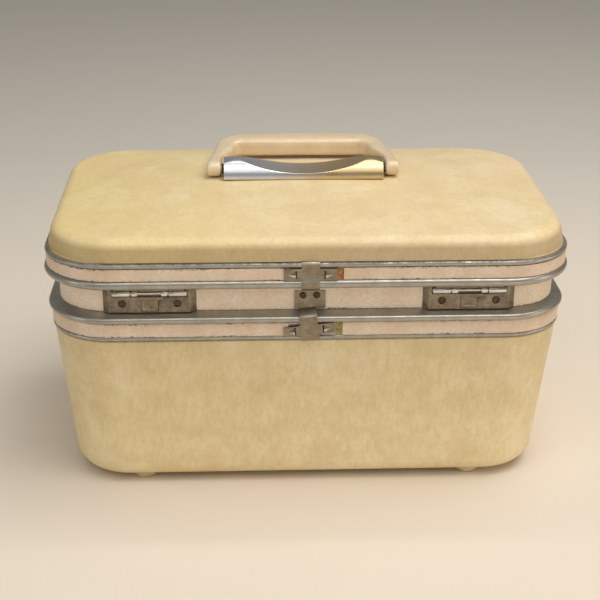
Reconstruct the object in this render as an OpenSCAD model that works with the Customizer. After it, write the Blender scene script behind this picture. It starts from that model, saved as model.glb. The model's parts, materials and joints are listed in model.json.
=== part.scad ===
// Hard-shell makeup train case. A deep base and a shallow lid, each a moulded shell gripped by an
// aluminium trim ring, are hinged behind and latched in front. A bail on the lid carries the case.
// +Z is up, +Y is the latch side and -Y the hinge side. The origin is on the floor, under the middle.
// Profiles are drawn in (inset, height): inset is measured inwards from the lid ring's outer face.

/* [Case] */
// Width over the lid ring
case_w = 345; // [335:1:360]
// Depth over the lid ring
case_d = 215; // [208:1:225]
// Plan radius of the lid ring's corners
corner_r = 45; // [44:1:48]
// Thickness of both moulded shells
shell_t = 2.5; // [2.3:0.1:2.6]

/* [Base] */
// Height of the feet
foot_h = 4; // [3:0.5:6]
// Radius of a foot
foot_r = 8; // [6:0.5:9]
// Distance of a foot from the middle, along X
foot_x = 111; // [90:1:120]
// Distance of a foot from the middle, along Y
foot_y = 77.5; // [60:0.5:78]
// Inset of the base shell above its rounded bottom edge
bottom_inset = 13.5; // [11:0.5:16]
// Radius of the base shell's bottom edge
bottom_round = 12.7; // [8:0.1:14]
// Inset of the base shell just under its trim ring
waist_inset = 4.6; // [4.4:0.1:4.8]
// Height of the lower edge of the base's trim ring
trim_z = 110.9; // [100:0.1:130]

/* [Lid] */
// Gap between the base's neck and the closed lid
seam_gap = 0.3; // [0.2:0.1:0.5]
// Radius of the lid's top edge
crease_r = 9; // [8:0.5:10]
// Height of the lid's crown above that edge
crown_h = 9; // [7:0.5:11]
// Width of the mirror in the lid
mirror_w = 222; // [180:1:240]
// Depth of the mirror in the lid
mirror_d = 118; // [90:1:130]

/* [Hinges] */
// Distance of each hinge from the middle, along X
hinge_x = 102.2; // [90:0.1:110]
// Radius of a hinge knuckle
knuckle_r = 2.3; // [2.1:0.1:2.4]
// Radius of a hinge pin
pin_r = 1; // [0.8:0.1:1.2]

/* [Latches] */
// Distance of each latch from the middle, along X
latch_x = 102; // [90:1:108]
// Width of a hasp
hasp_w = 36; // [34:1:36]
// Radius of a lock's key plug
plug_r = 3; // [2.5:0.1:3.2]

/* [Handle] */
// Length of the saddle that the bail turns on
saddle_l = 110; // [108:1:112]
// Width of the saddle
saddle_w = 26.6; // [24:0.2:28]
// Height of the saddle
saddle_h = 12.3; // [12:0.1:13]
// Radius of the scoop in the saddle's top
scoop_r = 123; // [118:1:128]
// Distance from the bail's pivot to the middle of its grip
bail_reach = 57; // [54:0.5:60]
// Width of the grip
grip_w = 23.2; // [20:0.2:24]
// Width of the bail's arms
arm_w = 9.8; // [8:0.2:10]

/* [Tray] */
// Height of the tray's rim
tray_top = 145; // [140:1:146]
// Depth of the tray
tray_h = 37; // [30:1:38]

/* [Hidden] */

// Facets per quarter turn in plan, and in the shells' edges
PLAN_N = 8;
EDGE_N = 5;
$fn = 48;

// Heights of the base's trim ring
thin_bead_top = trim_z + 3;
outer_bead_z = trim_z + 14.65;
ledge_z = trim_z + 19.1;
neck_top = trim_z + 36.1;
tongue_top = neck_top + 4;

// Heights of the lid, from the underside of its trim ring
lid_z = neck_top + seam_gap;
lid_strip_z = lid_z + 5.9;
lid_trim_top = lid_z + 17.4;
crease_z = lid_z + 32.7 - crease_r;
crown_z = crease_z + crease_r;
lid_top = crown_z + crown_h;
crease_inset = crease_r + 4.2;
lid_corner_r = corner_r + 5;

// Hinge line, and the pivot line of the hasps
pivot_inset = 6.5;
pivot_z = lid_z - 3.9;
hasp_pivot_z = lid_z - 3.3;

// Plates on the neck: inset of their faces and their lower and upper edges
neck_face = 9.2;
plate_face = 6.4;
plate_z0 = ledge_z + 0.15;
plate_z1 = lid_z - 1.8;

// Rivets through the neck: shank, thickness of a head, and their places on each fitting
rivet_r = 1.3;
head_t = 0.95;
rivet_dx = 17.5;
rivet_z = plate_z1 - 9.3;
cover_rivet_dx = 4.4;
cover_rivet_z = neck_top - 7;
cover_face = 8.5;
strap_w = 11.6;
latch_rivet_dx = 12;
latch_rivet_z = plate_z0 + 3;

// Latch parts, from the latch's own middle
cheek_face = 5;
hasp_back = 7;
latch_mid_z = plate_z0 + 7.5;
plug_x = -24.3;
slide_x = 19.3;
slide_w = 5;
slide_travel = 4;
hasp_pin_r = 0.8;
hasp_knuckle_r = 1.9;

// Handle
saddle_y = 4;
saddle_z = lid_top + 0.05;
pivot_y = 0.5;
bail_z = lid_top + 5.2;
bail_end_r = 5.2;
bail_pin_r = 2;
arm_gap = 1.7;
arm_x = saddle_l / 2 + arm_gap + arm_w / 2;
screw_x = 42;
plate_top = lid_top - 3.7;
plate_t = 1.5;

// Tray and linings
lining_t = 1.2;
tray_wall = 2;
tray_inset = 14.3;
divider_t = 2;
divider_y = 15;
tray_z = tray_top - tray_h;
ceiling_z = crown_z - 4.4;

// ---------------------------------------------------------------- shared shapes

// Points of an arc round c, in (inset, height)
function arc(c, r, a0, a1, n = 6) =
    [for (i = [0:n]) let (a = a0 + (a1 - a0) * i / n) c + r * [cos(a), sin(a)]];

// Points of a rounded rectangle of half sizes a and b
function rounded(a, b, r, n = PLAN_N) = [
    for (q = [0:3], i = [0:n])
        let (t = 90 * (q + i / n), sx = (q == 0 || q == 3) ? 1 : -1, sy = q < 2 ? 1 : -1)
        [sx * (a - r) + r * cos(t), sy * (b - r) + r * sin(t)]
];

// One level of a shell: the case's outline at this inset, height and corner radius
function level(inset, z, r) =
    [for (p = rounded(case_w / 2 - inset, case_d / 2 - inset, r)) [p.x, p.y, z]];

// One level of a crown of height h over the outline at this inset, shrunk to scale s
function crown_level(s, inset, z, r, h) =
    let (a = case_w / 2 - inset, b = case_d / 2 - inset)
    [for (p = level(inset, z, r)) let (x = p.x * s, y = p.y * s)
        [x, y, z + h * (1 - pow(abs(x) / a, 2.6)) * (1 - pow(abs(y) / b, 2.2))]];

// Mean of a level's points
function middle(points, i = 0, sum = [0, 0, 0]) =
    i >= len(points) ? sum / len(points) : middle(points, i + 1, sum + points[i]);

// Triangles between level k and level n, of m points each
function band(k, n, m) = [for (i = [0:m - 1]) let (j = (i + 1) % m)
    each [[k * m + i, n * m + j, k * m + j], [k * m + i, n * m + i, n * m + j]]];

// A fan over level k from the point at index tip, facing back along the loft or forward
function fan(tip, k, m, back) = [for (i = [0:m - 1]) let (j = (i + 1) % m)
    back ? [tip, k * m + i, k * m + j] : [tip, k * m + j, k * m + i]];

// A closed solid through a list of levels, with a fan over its first and last level
module loft(levels) {
    m = len(levels[0]);
    count = len(levels);
    points = concat([for (l = levels) each l], [middle(levels[0]), middle(levels[count - 1])]);
    sides = [for (k = [0:count - 2]) each band(k, k + 1, m)];
    ends = concat(fan(count * m, 0, m, true), fan(count * m + 1, count - 1, m, false));
    polyhedron(points, concat(sides, ends), convexity = 6);
}

// A domed shell: levels up its outside to the crown, then levels down its inside to the rim
module dome(outer, inner) {
    levels = concat(outer, inner);
    m = len(levels[0]);
    count = len(levels);
    top = len(outer) - 1;
    points = concat([for (l = levels) each l], [middle(levels[top]), middle(levels[top + 1])]);
    sides = [for (k = [0:count - 1]) if (k != top) each band(k, (k + 1) % count, m)];
    crowns = concat(fan(count * m, top, m, false), fan(count * m + 1, top + 1, m, true));
    polyhedron(points, concat(sides, crowns), convexity = 6);
}

// A ring of constant profile that follows the case's outline
module trim_ring(profile) {
    sx = case_w / 2 - corner_r;
    sy = case_d / 2 - corner_r;
    section = [for (p = profile) [corner_r - p.x, p.y]];
    for (k = [0:3]) {
        across = k % 2 == 0 ? sx : sy;
        along = k % 2 == 0 ? sy : sx;
        rotate([0, 0, 90 * k]) {
            translate([across, 0, 0]) rotate([90, 0, 0])
                linear_extrude(2 * along, center = true) polygon(section);
            translate([across, along, 0]) rotate_extrude(angle = 90, $fn = 96) polygon(section);
        }
    }
}

// Profile of a vinyl strip with its face at this inset
function strip(face, z0, z1) =
    [[face, z0], [face + 0.65, z0], [face + 0.65, z1], [face, z1]];

// Places (x, inset, height) shapes on the hinge side or on the latch side
module at_back(x = 0) translate([x, -case_d / 2, 0]) children();
module at_front(x = 0) translate([x, case_d / 2, 0]) mirror([0, 1, 0]) children();

// A bar of (inset, height) profile from x0 to x1
module bar(profile, x0, x1)
    translate([x0, 0, 0]) rotate([90, 0, 90]) linear_extrude(x1 - x0) polygon(profile);

// A box from one corner to the other
module block(p, q) translate(p) cube(q - p);

// Round bars along X and along the inset
module rod_x(x0, x1, inset, z, r)
    translate([x0, inset, z]) rotate([0, 90, 0]) cylinder(r = r, h = x1 - x0);

module rod_in(x, i0, i1, z, r)
    translate([x, i0, z]) rotate([-90, 0, 0]) cylinder(r = r, h = i1 - i0);

// A round bar along X between distances d0 and d1 from the middle, on side s
module side_rod(s, d0, d1, inset, z, r)
    rod_x(min(s * d0, s * d1), max(s * d0, s * d1), inset, z, r);

// A round part along the inset, turned from its (radius, inset) outline
module turned_in(x, z, outline)
    translate([x, 0, z]) rotate([-90, 0, 0]) rotate_extrude() polygon(outline);

// ---------------------------------------------------------------- base

module body_shell() {
    flat = bottom_inset + bottom_round;
    waist_r = corner_r - waist_inset;
    low_r = waist_r - 1.1;
    z0 = foot_h;
    zc = foot_h + bottom_round;
    inner_r = bottom_round - shell_t;
    rim = outer_bead_z + 0.55;
    seat = waist_inset + 0.9;
    edge = function (r) [for (k = [0:EDGE_N]) let (t = 90 * k / EDGE_N)
        level(flat - r * sin(t), zc - r * cos(t), low_r - bottom_round + r * sin(t))];
    low = edge(inner_r);
    outer = concat(edge(bottom_round), [
        level(waist_inset, trim_z - 0.9, waist_r),
        level(seat, trim_z - 0.05, corner_r - seat),
        level(seat, rim, corner_r - seat)]);
    inner = concat([
        level(seat + shell_t, rim, corner_r - seat - shell_t),
        level(seat + shell_t, trim_z - 0.9, corner_r - seat - shell_t),
        level(waist_inset + shell_t + 0.2, trim_z - 2.9, waist_r - shell_t - 0.2)],
        [for (k = [EDGE_N:-1:0]) low[k]]);
    color("#e3d4a6") loft(concat(outer, inner));
}

module body_frame() {
    profile = concat(
        [[5.4, trim_z]],
        arc([5, trim_z + 1.5], 1.5, 270, 118),
        arc([3.75, outer_bead_z], 2.25, 284, 110, 8),
        [[9.9, ledge_z], [9.9, neck_top], [10.6, neck_top]],
        arc([11.3, tongue_top - 0.7], 0.7, 180, 0, 4),
        [[12, neck_top - 1.4], [11.3, neck_top - 2.1], [11.3, ledge_z - 0.8], [9.8, ledge_z - 2.3],
         [9.8, trim_z + 7.1], [8.3, trim_z + 7.1], [8.3, outer_bead_z + 0.75], [5.4, outer_bead_z + 0.75]]);
    color("#a9a59a") difference() {
        trim_ring(profile);
        neck_rivet_holes(rivet_r + 0.05);
    }
}

// Holes for every rivet that goes through the neck
module neck_rivet_holes(r) {
    for (s = [-1, 1], d = [-1, 1]) {
        at_back(s * hinge_x) rod_in(d * rivet_dx, neck_face - 1, 14, rivet_z, r);
        at_front(s * latch_x) rod_in(d * latch_rivet_dx, neck_face - 1, 14, latch_rivet_z, r);
    }
    for (d = [-1, 1])
        at_back() rod_in(d * cover_rivet_dx, neck_face - 1, 14, cover_rivet_z, r);
}

module body_inlay() {
    color("#e2c9b0") difference() {
        trim_ring(strip(3.6, thin_bead_top, trim_z + 12.3));
        at_back() block([-14, 0, trim_z], [21, 6, outer_bead_z]);
    }
}

module neck_band() {
    color("#e6cdb4") difference() {
        trim_ring(strip(neck_face, ledge_z + 0.2, neck_top));
        neck_rivet_holes(rivet_r + 0.1);
    }
}

module feet() {
    outline = concat([[0, 0]], [for (t = [-90:18:0]) [foot_r - 2.4 + 2.4 * cos(t), 2.4 + 2.4 * sin(t)]],
        [[foot_r, foot_h], [0, foot_h]]);
    color("#dccb9c")
        for (sx = [-1, 1], sy = [-1, 1])
            translate([sx * foot_x, sy * foot_y, 0]) rotate_extrude() polygon(outline);
}

module body_lining() {
    flat = bottom_inset + bottom_round + 0.4;
    r0 = bottom_round - shell_t - 0.4;
    zc = foot_h + bottom_round;
    low_r = corner_r - waist_inset - 4;
    wall = function (inset, z) level(inset, z, corner_r - inset);
    rise = function (d) [
        wall(8.4 + d, trim_z - 2.9),
        wall(10.3 + d, trim_z + 5.6),
        wall(10.5 + d, ledge_z - 3.6),
        wall(12.3 + d, ledge_z + 0.8),
        wall(12.3 + d, neck_top + 2.5)];
    edge = function (r) [for (k = [0:EDGE_N]) let (t = 90 * k / EDGE_N)
        level(flat - r * sin(t), zc - r * cos(t), low_r - r0 + r * sin(t))];
    skin = concat(edge(r0 - lining_t), rise(lining_t));
    color("#d9b9ae")
        loft(concat(edge(r0), rise(0), [for (k = [len(skin) - 1:-1:0]) skin[k]]));
}

module tray_ledges() {
    edge = case_w / 2 - 10.1;
    shelf_w = 14;
    color("#cfae9f")
        for (s = [0, 1])
            mirror([s, 0, 0]) block([edge - shelf_w, -55, tray_z - 4], [edge, 55, tray_z - 0.1]);
}

// ---------------------------------------------------------------- hinges

// Knuckle on the hinge line from x0 to x1
module knuckle(x0, x1, bore) {
    difference() {
        union() {
            rod_x(x0, x1, pivot_inset, pivot_z, knuckle_r);
            children();
        }
        rod_x(x0 - 1, x1 + 1, pivot_inset, pivot_z, bore);
    }
}

module hinge_plate() {
    foot = 29.75;
    face = 25.7;
    notch = 24.2;
    notch_z = pivot_z - 2.7;
    color("#8f8a7c") {
        difference() {
            translate([0, 0, plate_z0]) linear_extrude(plate_z1 - plate_z0)
                polygon([[-foot, neck_face], [-face, plate_face], [face, plate_face], [foot, neck_face]]);
            block([-notch, plate_face - 1, notch_z], [notch, neck_face + 1, plate_z1 + 1]);
            block([-5.7, plate_face - 1, plate_z0 + 0.6], [5.7, plate_face + 0.7, notch_z + 1]);
            for (d = [-1, 1]) {
                rod_in(d * rivet_dx, plate_face - 1, plate_face + 1, rivet_z, 2.6);
                rod_in(d * rivet_dx, plate_face - 1, neck_face + 1, rivet_z, rivet_r + 0.05);
            }
        }
        for (s = [0, 1])
            mirror([s, 0, 0]) knuckle(12.3, 23.6, pin_r + 0.02)
                block([12.3, 7.3, notch_z], [23.6, 8.5, pivot_z]);
    }
}

// Leaf under the lid: two short knuckles, with the pin bare between them
module hinge_leaf() {
    inner = 7.5;
    outer = 11.5;
    color("#8f8a7c") {
        for (s = [0, 1])
            mirror([s, 0, 0]) knuckle(inner, outer, pin_r + 0.05)
                block([inner, 5.9, pivot_z + 1], [outer, 7.1, lid_z - 0.9]);
        block([-22, 3.5, lid_z - 1], [22, 8.6, lid_z]);
    }
}

module hinge_pin() {
    color("#b8b5ad") rod_x(-23.9, 23.9, pivot_inset, pivot_z, pin_r);
}

// T-shaped stop that the lid's leaf comes up against
module hinge_stop() {
    color("#9a9587") difference() {
        union() {
            block([-9, 5.8, pivot_z - 4.6], [9, plate_face, pivot_z - 2.7]);
            block([-5.5, 6.1, plate_z0 + 0.8], [5.5, plate_face + 0.65, pivot_z - 3.2]);
        }
        block([-4, 5, plate_z0 + 2.2], [4, 6.4, pivot_z - 6]);
    }
}

// Rivet with a domed head from inset i0, through to its flattened tail inside the neck
module neck_rivet(x, z, i0, head_r) {
    tail_r = 2;
    tail = [11.35, 11.9];
    crown = 0.7;
    dome = [for (t = [0:15:90]) [head_r * cos(t), i0 + crown * (1 - sin(t))]];
    turned_in(x, z, concat([[0, tail[1]], [tail_r, tail[1]], [tail_r, tail[0]], [rivet_r, tail[0]],
        [rivet_r, i0 + head_t], [head_r, i0 + head_t]], dome));
}

module hinge_rivets() {
    color("#6b4a37")
        for (s = [-1, 1], d = [-1, 1])
            at_back(s * hinge_x) neck_rivet(d * rivet_dx, rivet_z, plate_face, 2.5);
}

// ---------------------------------------------------------------- trim joint covers

// Raised triangle stamped in a cover's tab, pointing along s
module lance(s, x, inset, z) {
    translate([x, inset, z]) rotate([90, 0, 0]) linear_extrude(0.5)
        polygon([[0, -1.7], [s * 4.2, 0], [0, 1.7]]);
}

module joint_cover_lower() {
    strap = [
        [cover_face, ledge_z + 13], [9.15, ledge_z + 13], [9.15, ledge_z + 0.9], [2.6, outer_bead_z + 3.3],
        [1.3, outer_bead_z + 2.2], [1.3, outer_bead_z - 2.3], [2.9, trim_z + 11.6], [2.9, trim_z + 3.6],
        [2.9, trim_z + 0.2], [2.2, trim_z + 0.2], [2.2, trim_z + 11.2], [0.6, outer_bead_z - 2.6],
        [0.6, outer_bead_z + 2.6], [2.2, outer_bead_z + 4],
        [cover_face, ledge_z + 1.7]];
    tilt_z = trim_z + 8;
    color("#a29b8c") at_back() {
        difference() {
            block([-10, cover_face, ledge_z + 1.1], [10, 9.15, neck_top - 4]);
            for (d = [-1, 1])
                rod_in(d * cover_rivet_dx, 8, 10, cover_rivet_z, rivet_r + 0.05);
            block([-6.8, 8, ledge_z], [3.4, 9.5, ledge_z + 3.5]);
        }
        intersection() {
            translate([-0.5, 0, tilt_z]) rotate([0, -6, 0]) translate([0, 0, -tilt_z]) {
                bar(strap, -strap_w / 2, strap_w / 2);
                difference() {
                    block([-16.5, 2.2, trim_z + 3.8], [16.5, 3, trim_z + 10.8]);
                    block([-strap_w / 2, 2, trim_z], [strap_w / 2, 4, trim_z + 14]);
                }
                for (s = [-1, 1])
                    lance(s, s * 9, 2.2, trim_z + 7.4);
            }
            block([-30, -2, trim_z - 3], [30, 9.15, ledge_z + 3.9]);
        }
    }
}

module joint_cover_rivets() {
    color("#4a3a2e") at_back()
        for (d = [-1, 1])
            neck_rivet(d * cover_rivet_dx, cover_rivet_z, cover_face - head_t, 2.3);
}

module joint_cover_upper() {
    strap = [
        [4, lid_z - 0.1], [4, lid_z - 0.7], [1, lid_z - 0.7], [-0.8, lid_z + 1], [-0.8, lid_strip_z - 1.3],
        [0.6, lid_strip_z + 0.7], [0.6, lid_trim_top - 3.8], [0.2, lid_trim_top - 3],
        [0.2, lid_trim_top - 0.3], [1.3, lid_trim_top + 0.9], [2.6, lid_trim_top + 0.9],
        [2.6, lid_trim_top + 0.1], [1.7, lid_trim_top + 0.1], [0.85, lid_trim_top - 0.6],
        [0.85, lid_trim_top - 2.8], [1.4, lid_trim_top - 3.6], [1.4, lid_strip_z + 0.4],
        [-0.1, lid_strip_z - 1.4], [-0.1, lid_z + 1.3], [1.3, lid_z - 0.1]];
    color("#aaa598") at_back() {
        bar(strap, -strap_w / 2, strap_w / 2);
        for (s = [0, 1])
            mirror([s, 0, 0]) {
                block([strap_w / 2, 0.7, lid_strip_z - 0.2], [17, 1.35, lid_strip_z + 7.8]);
                lance(1, 9, 0.7, lid_strip_z + 3.8);
            }
    }
}

// ---------------------------------------------------------------- latches

// Latches are drawn for the right-hand side, with the slide moving towards +X
module latch_base() {
    foot = 33;
    face = 30;
    half = hasp_w / 2 + 0.5;
    tail_x = slide_x + slide_w + 0.2;
    color("#a8a49a") difference() {
        translate([0, 0, plate_z0]) linear_extrude(plate_z1 - plate_z0)
            polygon([[-foot, neck_face], [-face, cheek_face], [face, cheek_face], [foot, neck_face]]);
        block([-half, cheek_face - 1, plate_z0 - 1], [half, hasp_back, plate_z1 + 1]);
        block([-half, cheek_face, hasp_pivot_z - 2.2], [half, neck_face + 1, plate_z1 + 1]);
        block([-4.5, cheek_face, plate_z0 + 2], [4.5, neck_face + 1, plate_z1 + 1]);
        block([4, hasp_back - 0.1, latch_mid_z - 1.9], [tail_x + slide_travel + 0.7, 8.9, latch_mid_z + 1.9]);
        block([slide_x + 1.1, cheek_face - 1, latch_mid_z - 1.2],
            [slide_x + 3.9 + slide_travel, hasp_back, latch_mid_z + 1.2]);
        rod_in(plug_x, cheek_face - 1, 8.6, latch_mid_z, plug_r + 0.05);
        for (d = [-1, 1]) {
            rod_in(d * latch_rivet_dx, hasp_back - 1, hasp_back + 1, latch_rivet_z, 2.1);
            rod_in(d * latch_rivet_dx, hasp_back - 1, neck_face + 1, latch_rivet_z, rivet_r + 0.05);
        }
    }
}

module latch_slide() {
    pitch = 1.4;
    rib = 0.7;
    color("#c4c2bc") {
        difference() {
            block([slide_x, 2.6, latch_mid_z - 4], [slide_x + slide_w, cheek_face - 0.1, latch_mid_z + 4]);
            for (k = [0:2])
                translate([slide_x + rib + pitch * k, 0, latch_mid_z])
                    block([0, 2, -3.2], [rib, 3.1, 3.2]);
        }
        block([slide_x + 1.2, cheek_face - 0.1, latch_mid_z - 1],
            [slide_x + 3.8, hasp_back + 0.2, latch_mid_z + 1]);
        block([4.9, hasp_back + 0.1, latch_mid_z - 1.7],
            [slide_x + slide_w + 0.2, 8.7, latch_mid_z + 1.7]);
    }
}

// Spring between the slide's tail and the end of its channel
module latch_spring() {
    turns = 4;
    pitch = 1.05;
    coil_r = 0.7;
    wire_r = 0.22;
    color("#9c9c98")
        for (k = [0:turns - 1])
            translate([slide_x + slide_w + 0.6 + k * pitch, 7.9, latch_mid_z]) rotate([0, 90, 0])
                rotate_extrude($fn = 24) translate([coil_r, 0]) polygon(arc([0, 0], wire_r, 0, 315, 7));
}

module latch_rivets() {
    color("#8d8778")
        for (s = [-1, 1], d = [-1, 1])
            at_front(s * latch_x) neck_rivet(d * latch_rivet_dx, latch_rivet_z, hasp_back + 0.02, 2);
}

// Key plug in the cheek, with its keyhole
module lock_plug() {
    color("#b9b4a6") difference() {
        rod_in(plug_x, cheek_face - 0.4, 8.4, latch_mid_z, plug_r);
        translate([plug_x, cheek_face, latch_mid_z]) block([-0.4, -1, -1.8], [0.4, 2, 1.8]);
    }
}

module hasp_bracket() {
    half = 6.5;
    color("#a8a49a") {
        difference() {
            union() {
                rod_x(-half, half, pivot_inset, hasp_pivot_z, hasp_knuckle_r);
                block([-half, 6, hasp_pivot_z + 1], [half, 7, lid_z - 0.9]);
            }
            rod_x(-half - 1, half + 1, pivot_inset, hasp_pivot_z, hasp_pin_r + 0.02);
        }
        block([-17.5, 3.6, lid_z - 1], [17.5, 8.6, lid_z]);
    }
}

module hasp_pin() {
    color("#b8b5ad") rod_x(-17.5, 17.5, pivot_inset, hasp_pivot_z, hasp_pin_r);
}

module hasp() {
    z0 = plate_z0 + 0.5;
    top = hasp_pivot_z - 1;
    color("#bdbab2") {
        difference() {
            union() {
                block([-hasp_w / 2, 4.8, z0], [hasp_w / 2, 6.4, top]);
                for (s = [-1, 1])
                    side_rod(s, 7, 17.4, pivot_inset, hasp_pivot_z, hasp_knuckle_r);
            }
            rod_x(-30, 30, pivot_inset, hasp_pivot_z, hasp_pin_r + 0.05);
            block([-6.9, 4, hasp_pivot_z - 2.2], [6.9, 9, hasp_pivot_z + 3]);
        }
        bar(concat([[4.8, z0], [4.8, z0 + 4]], arc([0.2, z0 + 1.2], 1, 90, 270)),
            3 - hasp_w / 2, hasp_w / 2 - 3);
        block([-3.9, 6.4, z0 + 2.8], [3.9, 8.7, z0 + 4.8]);
    }
}

// ---------------------------------------------------------------- lid

module lid_shell() {
    seat = 3.8;
    lip = 2.8;
    edge = [for (k = [0:EDGE_N]) 11 + (82 - 11) * k / EDGE_N];
    scales = [0.97, 0.9, 0.78, 0.6, 0.4, 0.2];
    top_inset = crease_inset - crease_r * cos(82);
    plan = function (inset, z) level(inset, z, lid_corner_r - inset);
    rim = function (inset, z) level(inset, z, corner_r - inset);
    crease = function (r) [for (t = edge) plan(crease_inset - r * cos(t), crease_z + r * sin(t))];
    crown = function (z) [for (s = scales) crown_level(s, top_inset, z, lid_corner_r - top_inset, crown_h)];
    outer = concat(
        [rim(seat, lid_z + 1.6), rim(seat, lid_trim_top + 0.05), plan(lip, lid_trim_top + 0.5)],
        crease(crease_r), crown(crown_z - 0.1));
    skin = concat(
        [rim(seat + shell_t, lid_z + 1.6), rim(seat + shell_t, lid_trim_top)],
        crease(crease_r - shell_t), crown(crown_z - shell_t - 0.1));
    color("#ecdcae") difference() {
        dome(outer, [for (k = [len(skin) - 1:-1:0]) skin[k]]);
        for (s = [-1, 1])
            translate([s * screw_x, saddle_y, lid_top - 8]) cylinder(r = 2.2, h = 12);
    }
}

module lid_frame() {
    profile = concat(
        arc([2.95, lid_z + 2.95], 2.95, 270, 105, 8),
        arc([2.65, lid_trim_top - 1.65], 1.65, 254, 90),
        [[3.7, lid_trim_top], [3.7, lid_z + 1.4], [6.6, lid_z + 1.4], [6.6, lid_z + 13.2],
         [7.7, lid_z + 13.2], [7.7, lid_z + 1.3], [10.2, lid_z + 1.3], [10.2, lid_z]]);
    color("#b0aca1") trim_ring(profile);
}

module lid_inlay() {
    color("#e2c9b0") difference() {
        trim_ring(strip(1.5, lid_strip_z, lid_strip_z + 8.1));
        at_back() block([-14, 0, lid_strip_z - 1], [21, 4, lid_strip_z + 10]);
    }
}

module lid_lining() {
    fill_z = crown_z - 9.1;
    plan = function (inset, z) level(inset, z, lid_corner_r - inset);
    edge = [for (k = [0:4]) 22.5 * k];
    scales = [0.9, 0.7, 0.45, 0.2];
    outer = concat(
        [plan(8, lid_z + 6.7)],
        [for (t = edge) plan(14 - 6 * cos(t), fill_z + 6 * sin(t))],
        [for (s = scales) crown_level(s, 14, fill_z + 6, lid_corner_r - 14, 5.5)]);
    skin = concat(
        [plan(9.6, lid_z + 6.7)],
        [for (t = edge) plan(15 - 5.4 * cos(t), ceiling_z - 5.4 * (1 - sin(t)))]);
    color("#dcbcb1") dome(outer, [for (k = [len(skin) - 1:-1:0]) skin[k]]);
}

module mirror_frame() {
    color("#d8c9a0") difference() {
        translate([0, 0, ceiling_z - 4.2]) linear_extrude(4.1)
            polygon(rounded(mirror_w / 2 + 6, mirror_d / 2 + 6, 16));
        translate([0, 0, ceiling_z - 5]) linear_extrude(6)
            polygon(rounded(mirror_w / 2 - 4, mirror_d / 2 - 4, 9));
        translate([0, 0, ceiling_z - 3]) linear_extrude(4)
            polygon(rounded(mirror_w / 2 + 0.3, mirror_d / 2 + 0.3, 12.3));
    }
}

module mirror_glass() {
    color("#c9d3d6") translate([0, 0, ceiling_z - 2.95]) linear_extrude(2.8)
        polygon(rounded(mirror_w / 2, mirror_d / 2, 12));
}

// ---------------------------------------------------------------- handle

module handle_saddle() {
    half = saddle_l / 2;
    ridge = saddle_z + saddle_h;
    end_drop = 2.2;
    peak_x = half - 10;
    scoop_floor = 4;
    section = [for (t = [0:7.5:180]) [saddle_y + saddle_w / 2 * cos(t), saddle_z + saddle_h * sin(t)]];
    color("#b9b7b2") difference() {
        intersection() {
            bar(section, -half, half);
            rotate([90, 0, 0]) linear_extrude(100, center = true)
                polygon([[-half, saddle_z - 1], [half, saddle_z - 1], [half, ridge - end_drop],
                    [peak_x, ridge + 0.5], [-peak_x, ridge + 0.5], [-half, ridge - end_drop]]);
        }
        translate([0, 0, saddle_z + scoop_floor + scoop_r]) rotate([90, 0, 0])
            cylinder(r = scoop_r, h = 100, center = true, $fn = 180);
        for (s = [-1, 1]) {
            side_rod(s, 47, half + 2, pivot_y, bail_z, bail_pin_r + 0.02);
            translate([s * screw_x, saddle_y, saddle_z - 1]) cylinder(r = 2.02, h = 9.5);
        }
    }
}

// Steel plate under the lid that spreads the handle's pull
module handle_plate() {
    color("#8a8780") difference() {
        translate([0, saddle_y, plate_top - plate_t]) linear_extrude(plate_t) polygon(rounded(60, 13, 5));
        for (s = [-1, 1])
            translate([s * screw_x, saddle_y, plate_top - 3]) cylinder(r = 2.1, h = 5);
    }
}

module handle_screws() {
    cap_t = 1.35;
    color("#9d9a92")
        for (s = [-1, 1])
            translate([s * screw_x, saddle_y, plate_top - plate_t - cap_t]) {
                difference() {
                    cylinder(r = 3.6, h = cap_t);
                    block([-4, -0.4, -1], [4, 0.4, 0.6]);
                }
                translate([0, 0, cap_t]) cylinder(r = 2, h = 13);
            }
}

module handle_pins() {
    color("#a5a298")
        for (s = [-1, 1])
            side_rod(s, 47.2, 64, pivot_y, bail_z, bail_pin_r);
}

module handle_washers() {
    color("#57534c")
        for (s = [-1, 1])
            difference() {
                side_rod(s, saddle_l / 2 + 0.15, saddle_l / 2 + arm_gap - 0.2, pivot_y, bail_z, 3.4);
                rod_x(-200, 200, pivot_y, bail_z, bail_pin_r + 0.02);
            }
}

// One section of the bail, square with rounded corners, from its inner point to its outer point in
// plan, with its height below and above the pivot line
function bail_section(inner, outer, h0, h1) = [
    for (k = [0:15]) let (
        t = -22.5 * k - 11.25,
        across = sign(cos(t)) * pow(abs(cos(t)), 0.55),
        up = sign(sin(t)) * pow(abs(sin(t)), 0.55),
        p = (inner + outer) / 2 + (outer - inner) / 2 * across)
    [p.x, p.y, bail_z + up * (up > 0 ? h1 : h0)]];

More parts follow.
